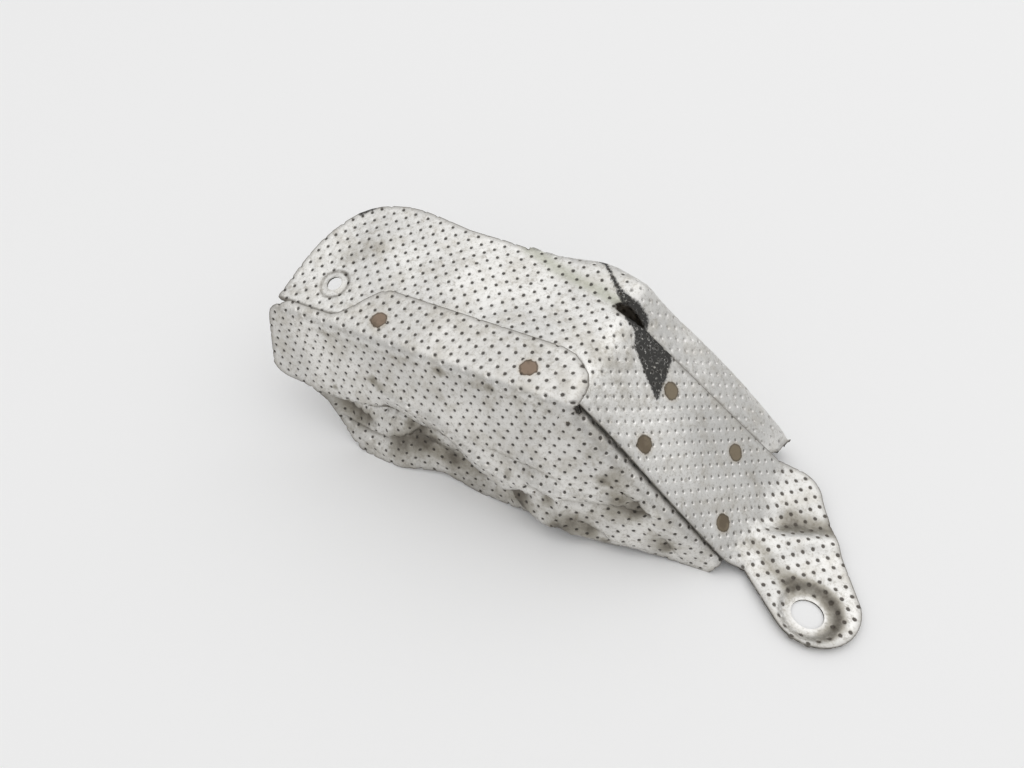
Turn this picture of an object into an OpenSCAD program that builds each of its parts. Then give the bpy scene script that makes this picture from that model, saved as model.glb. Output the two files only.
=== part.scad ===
/* [Sheet] */
// Thickness of each formed sheet
sheet_t = 0.8; // [0.6:0.1:1.1]
// Clearance between two sheets where they lap
lap_gap = 0.2; // [0.1:0.05:0.4]
// Outside radius of the long front bend
bend_r = 3; // [2:0.5:4.5]
// Length of one facet along the hood
facet_l = 6; // [4:1:9]

/* [Crown] */
// Length of the crown along the front bend, from the open end to the ramp
crown_l = 140; // [120:5:170]
// Width of the crown from the front bend to its free back edge
crown_w = 61; // [54:1:70]
// Height of the front bend at the open end
crown_front_h = 57; // [48:1:64]
// Climb of the front bend from the open end to the ramp
crown_climb = 13; // [6:1:18]
// Height of the crown's back edge
crown_back_h = 80; // [76:1:90]
// Setback of the crown's open end from the front sheet's open end
crown_setback = 3; // [1:0.5:6]
// Radius of the crown's back corner at the open end
crown_corner_r = 36; // [26:1:42]
// Radius of the crown's front corner at the open end
crown_tip_r = 5; // [3:0.5:8]

/* [Ramp] */
// Run of the ramp along the hood
ramp_run = 67; // [56:1:80]
// Fall of the ramp from the crown to the ear
ramp_drop = 64; // [58:1:68]
// How much higher the ramp's back edge lies than its front edge
ramp_tilt = 12; // [6:1:16]
// Distance from the front bend to the ramp's cut edge at the crown
seam_top = 4.5; // [4:0.5:7]
// Distance from the front bend to the ramp's cut edge at the ear
seam_toe = 8; // [6:0.5:11]
// Width of the ramp from the front bend to its back edge at the crown
ramp_w_top = 47; // [42:1:52]
// Width of the ramp from the front bend to its back edge at the ear
ramp_w_toe = 60; // [56:1:64]
// Softness of the fold between the crown and the ramp
crown_fold = 6; // [3:0.5:9]
// Softness of the fold between the ramp and the ear
toe_fold = 5; // [3:0.5:8]

/* [Ear] */
// Distance along the hood from the ramp's foot to the ear's hole
ear_reach = 36; // [32:1:44]
// Distance of the ear's hole behind the front bend
ear_hole_y = 5; // [2:1:8]
// Diameter of the ear's hole
ear_hole_d = 12.5; // [10:0.5:13]
// Diameter of the dish pressed round the ear's hole
dish_d = 22; // [20:0.5:23]
// Depth of the dish
dish_depth = 2.2; // [1.5:0.1:2.4]
// Width of the dish's flat ring
dish_land = 2; // [1.5:0.1:2.6]
// Slope at which the ear climbs away from its hole
ear_rise = 0.13; // [0.08:0.01:0.18]
// Radius of the ear's round tip
ear_tip_r = 17.5; // [16:0.5:20]
// Offset of the tip's centre behind the hole
ear_tip_y = 4; // [3:0.5:5]
// Radius of the ear's back corner
ear_corner_r = 14; // [10:1:16]
// How far the ear's back edge stands out past the ramp's
ear_back_out = 4; // [2:0.5:6]
// How far the ear's neck is cut in behind the ramp's front edge
ear_neck_in = 2; // [1:0.5:4]
// Height of the waves across the ear
ear_wave = 1.1; // [0.4:0.1:1.6]

/* [Bolt hole] */
// Diameter of the crown's bolt hole
bolt_d = 6.4; // [5:0.1:8.5]
// Diameter of the flat pressed round the bolt hole
bolt_land_d = 12; // [11:0.5:14]
// Distance of the bolt hole from the open end
bolt_x = 23; // [20:1:28]
// Distance of the bolt hole behind the front bend
bolt_y = 18; // [17:1:24]

/* [Front sheet] */
// Width of the flange that laps over the crown
flange_w = 22; // [18:1:28]
// Width of the flange beside the bolt hole
flange_relief_w = 5; // [4:0.5:7]
// Distance from the open end to where the flange widens
flange_widen_x = 30; // [26:1:34]
// Length over which the flange widens
flange_widen_l = 20; // [14:1:28]
// Radius of the flange's corner at the ramp
flange_corner_r = 14; // [8:1:18]
// Width of the strip tucked under the ramp
strip_w = 24; // [22:1:28]
// Outward lean of the front wall for each unit of depth
wall_lean = 0.2; // [0.1:0.01:0.26]
// Radius of the front sheet's corners at the open end
wall_corner_r = 8; // [5:0.5:10]
// Height of the front sheet's lower edge at the open end
wall_foot_h = 24; // [16:1:30]
// Distance from the open end to where the lower edge starts down
foot_x = 18; // [14:1:26]
// Length over which the lower edge comes down
foot_l = 32; // [24:1:44]
// Outward lean that is left where the wall meets the ear
toe_lean = 0.05; // [0:0.01:0.12]
// Height of the crumpled crease where it stands highest
crease_h = 30; // [24:1:34]
// Distance from the open end to where the crease stands highest
crease_x = 70; // [56:1:84]
// Fall of the crease to either side of its highest place
crease_bow = 7; // [3:0.5:9]
// Further fall of the crease on its way to the ear
crease_fall = 16; // [8:1:18]
// Depth by which the wall tucks in below the crease
crease_tuck = 5; // [2:0.5:6]
// Height over which the crease turns in
crease_roll = 3; // [2:0.5:4]
// Distance from the open end to where the pinched dent starts
pinch_x = 52; // [44:2:60]
// Length of the pinched dent
pinch_l = 64; // [40:4:70]
// Height of the pinched dent where it starts
pinch_h = 18; // [15:1:21]
// Fall of the pinched dent along its length
pinch_fall = 7; // [4:1:9]
// Depth of the pinched dent
pinch_depth = 2.2; // [0:0.2:3]
// Outward reach of the skirt's foot near the open end
skirt_out = 12; // [8:1:15]
// Outward reach of the skirt's foot below the ramp's start
skirt_mid = 6.5; // [3:0.5:9]
// Height of the waves along the skirt's foot
skirt_wave = 2.5; // [1:0.5:4]
// Length of one wave along the skirt's foot
skirt_wave_l = 46; // [36:1:60]

/* [Back shoulder] */
// Length along the crown that the shoulder takes before the ramp
shoulder_l = 48; // [40:1:60]
// Length over which the shoulder grows to its full width
shoulder_grow = 38; // [28:1:40]
// Width of the shoulder beyond the ramp's back edge
shoulder_w = 18; // [14:1:22]
// Extra width where the shoulder bulges beside the crown
shoulder_bulge = 4.5; // [2:0.5:6]
// Extra width where the shoulder bows out beside the ramp
shoulder_bow = 2.5; // [0:0.5:4]
// Rise of the shoulder's back above its groove
shoulder_rise = 2; // [1:0.5:3]
// Depth over which the shoulder rounds down into the back wall
shoulder_drop = 5; // [3:0.5:8]
// How far the shoulder's free corner stands out past the ramp's foot
shoulder_end = 8; // [3:1:12]
// Width of the flange tucked under the ramp's back edge
tuck_w = 18; // [15:1:20]
// Opening left between the ramp and the shoulder at their corner
corner_gap = 4; // [3:0.5:6]
// Length over which that opening closes
corner_gap_l = 20; // [14:1:26]
// Diameter of the relief hole at their corner
relief_d = 4.4; // [3:0.2:5]
// Inward lean of the back wall for each unit of depth
back_lean = 0.06; // [0:0.01:0.1]
// Length of the back wall's rounded lower corner beside the ear
back_cut_l = 26; // [16:1:36]

/* [Spot welds] */
// Diameter of the flat that each spot weld leaves
weld_d = 7; // [5:0.5:8]
// Depth of that flat
weld_depth = 0.25; // [0.15:0.05:0.35]
// Distance of the flange's welds in from its cut edge
weld_in = 13; // [11:1:14]
// Distance of the ramp's welds in from its cut edges
ramp_weld_in = 12; // [10:1:13]
// Distance of the ramp's upper welds from the crown
ramp_weld_x = 26; // [22:1:32]
// Distance of the flange's first weld from the open end
flange_weld_x = 52; // [50:1:70]

/* [Hidden] */
sheet_colour = [0.80, 0.79, 0.76];
front_colour = [0.74, 0.73, 0.70];

toe_x = crown_l + ramp_run;
ramp_slope = ramp_drop / ramp_run;
ear_x = toe_x + ear_reach;
// The dish's underside is what the ear rests on
ear_h = dish_depth + sheet_t;
ear_tip = [ear_x + 1, ear_hole_y + ear_tip_y];
ear_corner = [toe_x + ear_corner_r + 1, ramp_w_toe + ear_back_out - ear_corner_r];
ear_neck = [toe_x + 9, seam_toe + ear_neck_in];
// The flat that is kept round the dish, and how far the dish's ring reaches into it
ear_flat = dish_d / 2 + 8;
dish_lap = 0.6;
end_lip = 2;
dish_wall = 2.4;
shoulder_x = crown_l - shoulder_l;
lap_step = sheet_t + lap_gap;
wall_left = -1;
tiny = 0.01;

// The ear climbs away from its hole in this direction, and its two waves lie across it
ear_climb = [-0.63, 0.77];
ear_wave_at = 9;
ear_wave_gap = 12;
ear_wave_l = 6;

// A slot parts the flange from the strip, which is cut off aslant before the ramp's foot
slot_l = 4;
flange_end_x = crown_l + 1;
strip_x = crown_l + slot_l;
strip_end_x = toe_x - 3;
strip_taper_x = strip_end_x + 10;
strip_taper_l = 16;

// The front bend runs in behind the ear's neck
crest_shift_x = toe_x - 40;
crest_shift_l = 42;

// The crease stands level, bows down, and rolls out again before the ear
crease_bow_l = 30;
crease_fall_x = crease_x + 20;
crease_fall_l = 60;
crease_in_l = 24;
crease_out_x = crown_l - 30;
crease_out_l = 50;
pinch_w = 4;

// The skirt's foot comes in beside the crown, and again along the ramp
skirt_turn_x = 66;
skirt_turn_l = 24;
skirt_close_x = crown_l - 6;
skirt_close_l = ramp_run + 16;
skirt_wave_sharpness = 6;

// The shoulder bulges just before the ramp, and its rise fades beside it
bulge_x = crown_l - 17;
bulge_l = 16;
rise_left = 0.4;
sink_l = 10;

// Spot welds, as places (x, y): two along the ramp's back edge, two along its front, two in the flange
function ridge_weld(x) = [x, ridge_y(x) - ramp_weld_in];
ramp_welds = [
    ridge_weld(crown_l + ramp_weld_x),
    ridge_weld(toe_x - ramp_weld_in + 1),
    [crown_l + ramp_weld_x, seam_y(crown_l + ramp_weld_x) + ramp_weld_in - 3],
    [toe_x - 5, seam_toe + ramp_weld_in - 1]
];
flange_welds = [
    [flange_weld_x, flange_w - weld_in],
    [flange_end_x - flange_w, flange_w - weld_in + 1]
];
weld_tool_h = 4;
bore_tool_h = 8;

// The part's own origin: the middle of its outline, on the surface that it rests on
origin_x = (wall_left + ear_tip[0] + ear_tip_r) / 2;
origin_y = (ramp_w_toe + shoulder_w - skirt_out) / 2;

// Blending helpers
function mix(a, b, t) = a + (b - a) * t;
function ease(t) = let (c = min(1, max(0, t))) c * c * (3 - 2 * c);
function soft_min(a, b, k) = let (h = max(k - abs(a - b), 0) / k) min(a, b) - h * h * k / 4;
function soft_max(a, b, k) = -soft_min(-a, -b, k);
function hump(t) = exp(-t * t);
function arc_y(r, dx) = sqrt(max(0, r * r - dx * dx));
function unit(v) = v / norm(v);
function join(lists) = [for (l = lists) each l];
function reversed(l) = [for (i = [len(l) - 1:-1:0]) l[i]];
function from_to(l, first, last) = [for (i = [first:last]) l[i]];
// Even stations from a to b, with the first one left out so that lists can be joined
function steps(a, b, step) = let (n = max(1, round((b - a) / step))) [for (i = [1:n]) mix(a, b, i / n)];
// A soft curve from its first control point to its last, which rounds the corners between
function soft_curve(c, t) =
    let (
        last = len(c) - 3,
        k = min(last, floor(t * (last + 1))),
        u = t * (last + 1) - k,
        a = k == 0 ? c[0] : (c[k] + c[k + 1]) / 2,
        b = k == last ? c[last + 2] : (c[k + 1] + c[k + 2]) / 2
    )
    (1 - u) * (1 - u) * a + 2 * u * (1 - u) * c[k + 1] + u * u * b;

// Height of the crown, the ramp and the ear, and of the one sheet that runs over all three
function bend_z(x) = crown_front_h + crown_climb * x / crown_l;
function crown_z(x, y) = mix(bend_z(x), crown_back_h, y / crown_w);
function ramp_z(x, y) = bend_z(crown_l) - (x - crown_l) * ramp_slope + ramp_tilt * y / crown_w;
function ear_z(x, y) =
    let (
        away = [x - ear_x, y - ear_hole_y] * ear_climb - ear_flat,
        crest = hump((away - ear_wave_at) / ear_wave_l),
        trough = hump((away - ear_wave_at - ear_wave_gap) / ear_wave_l)
    )
    ear_h + ear_rise * soft_max(away, 0, 3) + ear_wave * (crest - trough) * ease(away / ear_wave_l);
function top_z(x, y) =
    soft_max(soft_min(crown_z(x, y), ramp_z(x, y), crown_fold), ear_z(x, y), toe_fold);
function top_normal(x, y) =
    unit(cross(
        [2 * tiny, 0, top_z(x + tiny, y) - top_z(x - tiny, y)],
        [0, 2 * tiny, top_z(x, y + tiny) - top_z(x, y - tiny)]
    ));
function top_point(x, y, lift = 0) = [x, y, top_z(x, y)] + lift * top_normal(x, y);

// Outline of the top sheet, as its front and back edges at each station
function seam_y(x) = mix(seam_top, seam_toe, (x - crown_l) / ramp_run);
function ridge_y(x) = mix(ramp_w_top, ramp_w_toe, (x - crown_l) / ramp_run);
function groove_y(x) = mix(crown_w, ramp_w_top + corner_gap, (x - shoulder_x) / shoulder_l);
function ear_front_y(x) =
    let (
        d = ear_tip - ear_neck,
        heading = atan2(d[1], d[0]) - asin(ear_tip_r / norm(d)),
        touch = ear_neck + sqrt(d * d - ear_tip_r * ear_tip_r) * [cos(heading), sin(heading)]
    )
    x < ear_neck[0] ? mix(seam_toe, ear_neck[1], ease((x - toe_x) / (ear_neck[0] - toe_x)))
    : x < touch[0] ? mix(ear_neck[1], touch[1], (x - ear_neck[0]) / (touch[0] - ear_neck[0]))
    : ear_tip[1] - arc_y(ear_tip_r, x - ear_tip[0]);
function ear_back_y(x) =
    let (
        d = ear_tip - ear_corner,
        heading = atan2(d[1], d[0]) + 90 - asin((ear_tip_r - ear_corner_r) / norm(d)),
        n = [cos(heading), sin(heading)],
        a = ear_corner + ear_corner_r * n,
        b = ear_tip + ear_tip_r * n
    )
    x < ear_corner[0]
        ? mix(ramp_w_toe, ear_corner[1] + ear_corner_r, ease((x - toe_x) / (ear_corner[0] - toe_x)))
        : x < a[0] ? ear_corner[1] + arc_y(ear_corner_r, x - ear_corner[0])
        : x < b[0] ? mix(a[1], b[1], (x - a[0]) / (b[0] - a[0]))
        : ear_tip[1] + arc_y(ear_tip_r, x - ear_tip[0]);
function top_front_y(x) =
    x > toe_x ? ear_front_y(x)
    : x > crown_l ? seam_y(x)
    : let (dx = max(0, crown_setback + crown_tip_r - x)) seam_top + crown_tip_r - arc_y(crown_tip_r, dx);
function top_back_y(x) =
    x > toe_x ? ear_back_y(x)
    : x > crown_l ? ridge_y(x)
    : x > shoulder_x ? groove_y(x)
    : let (dx = max(0, crown_setback + crown_corner_r - x))
        crown_w - crown_corner_r + arc_y(crown_corner_r, dx);

// A sheet is a grid of points on its outer face and a like grid one thickness below it. Grids run along
// the hood first and across it second, so that skins and rims can be closed edge to edge.
function grid_normal(g, i, j) =
    let (
        du = g[min(i + 1, len(g) - 1)][j] - g[max(i - 1, 0)][j],
        dv = g[i][min(j + 1, len(g[i]) - 1)] - g[i][max(j - 1, 0)]
    )
    unit(cross(du, dv));
function inner_grid(g) =
    [for (i = [0:len(g) - 1]) [for (j = [0:len(g[i]) - 1]) g[i][j] - sheet_t * grid_normal(g, i, j)]];
// An edge point of the inner face, moved level with its outer point, so that a foot stands flat
function level_inset(outer, inner) =
    let (d = inner - outer) outer + sheet_t * unit([d[0], d[1], 0]);
function row(g, j) = [for (column = g) column[j]];
function cell(a, b, c, d) = [[a, c, b], [a, d, c]];
function skin(g, flip = false) =
    [for (i = [0:len(g) - 2], j = [0:len(g[0]) - 2])
        each flip
            ? cell(g[i][j], g[i][j + 1], g[i + 1][j + 1], g[i + 1][j])
            : cell(g[i][j], g[i + 1][j], g[i + 1][j + 1], g[i][j + 1])];
function skins(outer, inner) = join([skin(outer), skin(inner, true)]);
// Edge faces along a border that is walked with the sheet on its left
function rim(outer, inner) =
    [for (i = [0:len(outer) - 2]) each cell(outer[i], inner[i], inner[i + 1], outer[i + 1])];
function rim_back(outer, inner) = rim(reversed(outer), reversed(inner));
module sheet_solid(triangles) {
    points = join(triangles);
    faces = [for (i = [0:3:len(points) - 1]) [i, i + 1, i + 2]];
    polyhedron(points, faces);
}

// Stations along the hood; the two folds get closer ones
fold_l = 8;
crown_xs = join([
    [for (a = [0:15:90]) crown_setback + crown_corner_r * (1 - cos(a))],
    steps(crown_setback + crown_corner_r, shoulder_x, facet_l)
]);
shoulder_xs = join([
    steps(shoulder_x, crown_l - fold_l, facet_l / 1.5),
    steps(crown_l - fold_l, crown_l, facet_l / 3)
]);
ramp_xs = join([
    steps(crown_l, crown_l + fold_l, facet_l / 3),
    steps(crown_l + fold_l, toe_x - 2, facet_l),
    steps(toe_x - 2, toe_x, facet_l / 3)
]);
ear_xs = join([
    steps(toe_x, toe_x + fold_l + 2, facet_l / 3),
    steps(toe_x + fold_l + 2, ear_tip[0], facet_l / 1.5),
    [for (a = [12:12:84]) ear_tip[0] + ear_tip_r * sin(a)],
    [ear_tip[0] + ear_tip_r * sin(88)]
]);
top_xs = join([crown_xs, shoulder_xs, ramp_xs, ear_xs]);
groove_i = len(crown_xs) - 1;
fold_i = groove_i + len(shoulder_xs);
toe_i = fold_i + len(ramp_xs);
top_last = len(top_xs) - 1;

// Crown, ramp and ear: one grid from the front edge to the back edge
across_n = 10;
top_outer = [for (x = top_xs) [for (j = [0:across_n])
    top_point(x, mix(top_front_y(x), top_back_y(x), j / across_n))]];
top_inner = inner_grid(top_outer);
top_back = row(top_outer, across_n);
top_back_in = row(top_inner, across_n);

// The shoulder grows out of the crown's back edge along a groove, runs on beside the ramp, and rounds
// down into the back wall. Beside the ramp its inner border drops one sheet, to pass under the ramp.
shoulder_n = 9;
wall_n = 4;
function shoulder_growth(x) = ease((x - shoulder_x) / shoulder_grow);
function shoulder_edge_y(x) =
    let (
        beside_crown = shoulder_bulge * hump((x - bulge_x) / bulge_l),
        beside_ramp = x > crown_l ? shoulder_bow * sin(180 * (x - crown_l) / ramp_run) : 0,
        full = max(ramp_w_top, ridge_y(x)) + shoulder_w + beside_crown + beside_ramp
    )
    mix(crown_w + 2, full, shoulder_growth(x));
function shoulder_border(x) =
    let (
        past = x - crown_l,
        gap = corner_gap * (1 - ease(past / corner_gap_l)),
        sink = lap_step * ease(past / sink_l)
    )
    top_point(x, ridge_y(x) + gap, -sink);
function back_foot_z(x, z) =
    let (t = min(1, max(0, (x - toe_x + back_cut_l) / back_cut_l)))
    (z - end_lip) * (1 - sqrt(1 - t * t));
function shoulder_column(x, border) =
    let (
        w = shoulder_edge_y(x) - border[1],
        rise = shoulder_rise * shoulder_growth(x) * mix(1, rise_left, ease((x - crown_l) / corner_gap_l)),
        foot = back_foot_z(x, border[2]),
        depth = border[2] - foot,
        out = shoulder_end * ease((x - toe_x + corner_gap_l) / corner_gap_l),
        bend = [
            [0, 0],
            [0.3 * w, rise],
            [0.75 * w, 1.6 * rise],
            [w, 0],
            [w, -min(shoulder_drop, 0.5 * depth)],
            [w - 0.5, -min(shoulder_drop + 8, 0.95 * depth)]
        ],
        section = join([
            [for (j = [0:shoulder_n]) soft_curve(bend, j / shoulder_n)],
            [for (j = [1:wall_n]) mix(bend[5], [w - 0.5 - back_lean * depth, -depth], j / wall_n)]
        ])
    )
    [for (p = section)
        let (skew = out * min(1, max(0, p[0]) / w))
        border + [skew, p[0], max(p[1] - ramp_slope * skew, -border[2])]];
shoulder_outer = [for (i = [groove_i:toe_i])
    shoulder_column(top_xs[i], i <= fold_i ? top_back[i] : shoulder_border(top_xs[i]))];

// The flange that the shoulder tucks under the ramp
tuck_n = 3;
tuck_i = [for (i = [fold_i:toe_i]) if (top_xs[i] >= crown_l + corner_gap_l) i][0];
tuck_ys = [for (j = [0:tuck_n]) tuck_w * (j / tuck_n - 1)];
tuck_outer = [for (i = [tuck_i:toe_i]) [for (dy = tuck_ys)
    top_point(top_xs[i], ridge_y(top_xs[i]) + dy, -lap_step)]];
tuck_inner = [for (i = [tuck_i:toe_i]) [for (dy = tuck_ys)
    top_point(top_xs[i], ridge_y(top_xs[i]) + dy, -lap_step - sheet_t)]];
shoulder_inner_free = inner_grid(shoulder_outer);
shoulder_inner = [for (i = [groove_i:toe_i])
    let (column = shoulder_inner_free[i - groove_i])
    [for (j = [0:len(column) - 1])
        j > 0 ? column[j]
        : i <= fold_i ? top_back_in[i]
        : i < tuck_i ? column[j]
        : tuck_inner[i - tuck_i][tuck_n]]];

module top_blank() {
    foot_j = shoulder_n + wall_n;
    last = toe_i - groove_i;
    slit_i = fold_i - groove_i;
    lap_i = tuck_i - groove_i;
    slit_outer = from_to(row(shoulder_outer, 0), slit_i, lap_i);
    slit_inner = from_to(row(shoulder_inner, 0), slit_i, lap_i);
    sheet_solid(join([
        skins(top_outer, top_inner),
        skins(shoulder_outer, shoulder_inner),
        skins(tuck_outer, tuck_inner),
        rim(row(top_outer, 0), row(top_inner, 0)),
        rim(top_outer[top_last], top_inner[top_last]),
        rim_back(from_to(top_back, fold_i, top_last), from_to(top_back_in, fold_i, top_last)),
        rim_back(from_to(top_back, 0, groove_i), from_to(top_back_in, 0, groove_i)),
        rim_back(top_outer[0], top_inner[0]),
        rim(slit_outer, slit_inner),
        rim_back(tuck_outer[0], tuck_inner[0]),
        rim(row(tuck_outer, 0), row(tuck_inner, 0)),
        rim(tuck_outer[last - lap_i], tuck_inner[last - lap_i]),
        rim(shoulder_outer[last], shoulder_inner[last]),
        rim_back(row(shoulder_outer, foot_j), row(shoulder_inner, foot_j)),
        rim_back(shoulder_outer[0], shoulder_inner[0])
    ]));
}

// Places a tool on the top sheet, square to it, with the sheet's outer face at zero height
module on_top(x, y, lift = 0) {
    n = top_normal(x, y);
    translate(top_point(x, y, lift))
        rotate([0, acos(n[2]), atan2(n[1], n[0])])
            children();
}
module weld_flat(d = weld_d) {
    translate([0, 0, -weld_depth])
        cylinder(d = d, h = weld_tool_h, $fn = 32);
}
module bore(d) {
    translate([0, 0, -bore_tool_h / 2])
        cylinder(d = d, h = bore_tool_h, $fn = 48);
}

// The ring pressed down round the ear's hole; its land is what the ear rests on
module ear_dish() {
    hole_r = ear_hole_d / 2;
    rim_r = dish_d / 2;
    land_r = max(hole_r + dish_land, rim_r - dish_wall - 1);
    slope = [for (t = [0:0.2:1]) [mix(rim_r, land_r, t), -dish_depth * ease(t)]];
    face = join([[[rim_r + dish_lap, 0]], slope, [[hole_r, -dish_depth]]]);
    under = [for (p = reversed(face)) p - [0, sheet_t]];
    translate([ear_x, ear_hole_y, ear_h])
        rotate_extrude($fn = 64)
            polygon(join([face, under]));
}

// Front sheet: its front bend follows the crown's and the ramp's front edge
function crest_y(x) = mix(0, seam_toe - bend_r, ease((x - crest_shift_x) / crest_shift_l));
function crest_lift(x) = lap_step * (1 - 2 * ease((x - flange_end_x) / (strip_x - flange_end_x)));
function wall_lean_at(x) = mix(wall_lean, toe_lean, ease((x - crown_l) / ramp_run));
function wall_y(x, z) = crest_y(x) - wall_lean_at(x) * (top_z(x, crest_y(x)) - z);
function crease_z(x) =
    crease_h - crease_bow * (1 - hump((x - crease_x) / crease_bow_l))
    - crease_fall * ease((x - crease_fall_x) / crease_fall_l);
function skirt_y(x) =
    let (shallow = mix(skirt_out, skirt_mid, ease((x - skirt_turn_x) / skirt_turn_l)))
    mix(-shallow, seam_toe - bend_r, ease((x - skirt_close_x) / skirt_close_l));
function wall_corner(x) = wall_corner_r - arc_y(wall_corner_r, max(0, wall_left + wall_corner_r - x));
function foot_z(x) =
    wall_foot_h * (1 - ease((x - foot_x) / foot_l)) + wall_corner(x)
    + skirt_wave * ease((x - foot_x - foot_l) / 20) * ease((strip_end_x - x) / 20)
        * pow(sin(180 * (x - foot_x - foot_l) / skirt_wave_l), skirt_wave_sharpness);
// A dent pinched into the wall below the crease, which runs out at both ends
function pinch(x, z) =
    let (
        t = (x - pinch_x) / pinch_l,
        ends = t > 0 && t < 1 ? pow(sin(180 * t), 2) : 0
    )
    pinch_depth * ends * hump((z - pinch_h + pinch_fall * t) / pinch_w);

// The wall leans out from the bend, tucks in below its crumpled crease, then flares out to the skirt's foot
function wall_point(x, z) =
    let (
        crease = max(crease_z(x), foot_z(x) + 2),
        below = min(1, max(0, (crease - z) / crease)),
        held = ease((x - foot_x) / crease_in_l) * (1 - ease((x - crease_out_x) / crease_out_l)),
        tuck = crease_tuck * held * ease((crease - z) / crease_roll) * (1 - below),
        flare = mix(wall_y(x, crease), skirt_y(x), below)
    )
    z > crease ? [x, wall_y(x, z), z] : [x, flare + tuck + pinch(x, z), z];

// Each column runs from the wall's foot to the front bend
bend_n = 4;
upper_n = 5;
lower_n = 8;
function front_column(x) =
    let (
        y = crest_y(x),
        crest = top_point(x, y, crest_lift(x)),
        shoulder = top_point(x, y + bend_r, crest_lift(x)),
        bend_foot = wall_point(x, crest[2] - bend_r),
        foot = foot_z(x),
        crease = max(crease_z(x), foot + 2),
        low = min(bend_foot[2] - 1, crease + 2),
        profile = join([
            [for (j = [0:lower_n]) wall_point(x, mix(foot, low, j / lower_n))],
            [for (j = [1:upper_n]) wall_point(x, mix(low, bend_foot[2], j / upper_n))],
            [for (j = [1:bend_n]) soft_curve([bend_foot, crest, shoulder], j / bend_n)]
        ]),
        top_n = len(profile) - 1,
        cut = crest[2] - wall_corner(x)
    )
    x >= wall_left + wall_corner_r ? profile
    : [for (j = [0:top_n])
        let (
            z = mix(foot, cut, j / top_n),
            climb = max(0, z - bend_foot[2]) / bend_r,
            t = min(1, 1 - sqrt(max(0, 1 - climb)))
        )
        z < bend_foot[2] ? wall_point(x, z) : soft_curve([bend_foot, crest, shoulder], t)];

function flange_y(x) =
    x < flange_end_x - flange_corner_r
        ? mix(flange_relief_w, flange_w, ease((x - flange_widen_x) / flange_widen_l))
        : flange_w - flange_corner_r + arc_y(flange_corner_r, x - flange_end_x + flange_corner_r);
function strip_y(x) = crest_y(x) + bend_r + strip_w * ease((strip_taper_x - x) / strip_taper_l);

front_xs = join([
    [for (a = [0:18:90]) wall_left + wall_corner_r * (1 - cos(a))],
    steps(wall_left + wall_corner_r, flange_widen_x, facet_l / 1.2),
    steps(flange_widen_x, flange_widen_x + flange_widen_l, facet_l / 2),
    steps(flange_widen_x + flange_widen_l, flange_end_x - flange_corner_r, facet_l),
    [for (a = [15:15:90]) flange_end_x - flange_corner_r * (1 - sin(a))],
    steps(flange_end_x, strip_x, slot_l),
    steps(strip_x, crown_l + fold_l, facet_l / 3),
    steps(crown_l + fold_l, strip_end_x, facet_l)
]);
front_last = len(front_xs) - 1;
corner_i = [for (i = [0:front_last]) if (front_xs[i] >= wall_left + wall_corner_r - tiny) i][0];
flange_i = [for (i = [0:front_last]) if (front_xs[i] >= flange_end_x - tiny) i][0];
strip_i = [for (i = [0:front_last]) if (front_xs[i] >= strip_x - tiny) i][0];
lap_n = 4;
function lap_grid(first, last, lift, inside) =
    [for (i = [first:last])
        let (x = front_xs[i], a = crest_y(x) + bend_r, b = lift > 0 ? flange_y(x) : strip_y(x))
        [for (j = [0:lap_n]) top_point(x, mix(a, b, j / lap_n), lift - inside)]];
front_outer = [for (x = front_xs) front_column(x)];
front_free = inner_grid(front_outer);
flange_outer = lap_grid(corner_i, flange_i, lap_step, 0);
flange_inner = lap_grid(corner_i, flange_i, lap_step, sheet_t);
strip_outer = lap_grid(strip_i, front_last, -lap_step, 0);
strip_inner = lap_grid(strip_i, front_last, -lap_step, sheet_t);
crest_j = len(front_outer[0]) - 1;
front_inner = [for (i = [0:front_last]) [for (j = [0:crest_j])
    j == 0 ? level_inset(front_outer[i][j], front_free[i][j])
    : j < crest_j || i < corner_i ? front_free[i][j]
    : i <= flange_i ? flange_inner[i - corner_i][0]
    : i >= strip_i ? strip_inner[i - strip_i][0]
    : front_free[i][j]]];

module front_blank() {
    crest = row(front_outer, crest_j);
    crest_in = row(front_inner, crest_j);
    flange_last = flange_i - corner_i;
    strip_last = front_last - strip_i;
    sheet_solid(join([
        skins(front_outer, front_inner),
        skins(flange_outer, flange_inner),
        skins(strip_outer, strip_inner),
        rim(row(front_outer, 0), row(front_inner, 0)),
        rim(front_outer[front_last], front_inner[front_last]),
        rim(strip_outer[strip_last], strip_inner[strip_last]),
        rim_back(row(strip_outer, lap_n), row(strip_inner, lap_n)),
        rim_back(strip_outer[0], strip_inner[0]),
        rim_back(from_to(crest, flange_i, strip_i), from_to(crest_in, flange_i, strip_i)),
        rim(flange_outer[flange_last], flange_inner[flange_last]),
        rim_back(row(flange_outer, lap_n), row(flange_inner, lap_n)),
        rim_back(flange_outer[0], flange_inner[0]),
        rim_back(from_to(crest, 0, corner_i), from_to(crest_in, 0, corner_i)),
        rim_back(front_outer[0], front_inner[0])
    ]));
}

module top_sheet() {
    color(sheet_colour)
        translate([-origin_x, -origin_y, 0]) {
            difference() {
                top_blank();
                on_top(bolt_x, bolt_y)
                    bore(bolt_d);
                on_top(bolt_x, bolt_y)
                    weld_flat(bolt_land_d);
                translate([ear_x, ear_hole_y, ear_h])
                    bore(dish_d);
                translate([crown_l - relief_d / 4, ramp_w_top + corner_gap * 0.6, crown_back_h - relief_d])
                    bore(relief_d);
                for (p = ramp_welds)
                    on_top(p[0], p[1])
                        weld_flat();
            }
            ear_dish();
        }
}

module front_sheet() {
    color(front_colour)
        translate([-origin_x, -origin_y, 0])
            difference() {
                front_blank();
                for (p = flange_welds)
                    on_top(p[0], p[1], lap_step)
                        weld_flat();
            }
}

top_sheet();
front_sheet();
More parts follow.
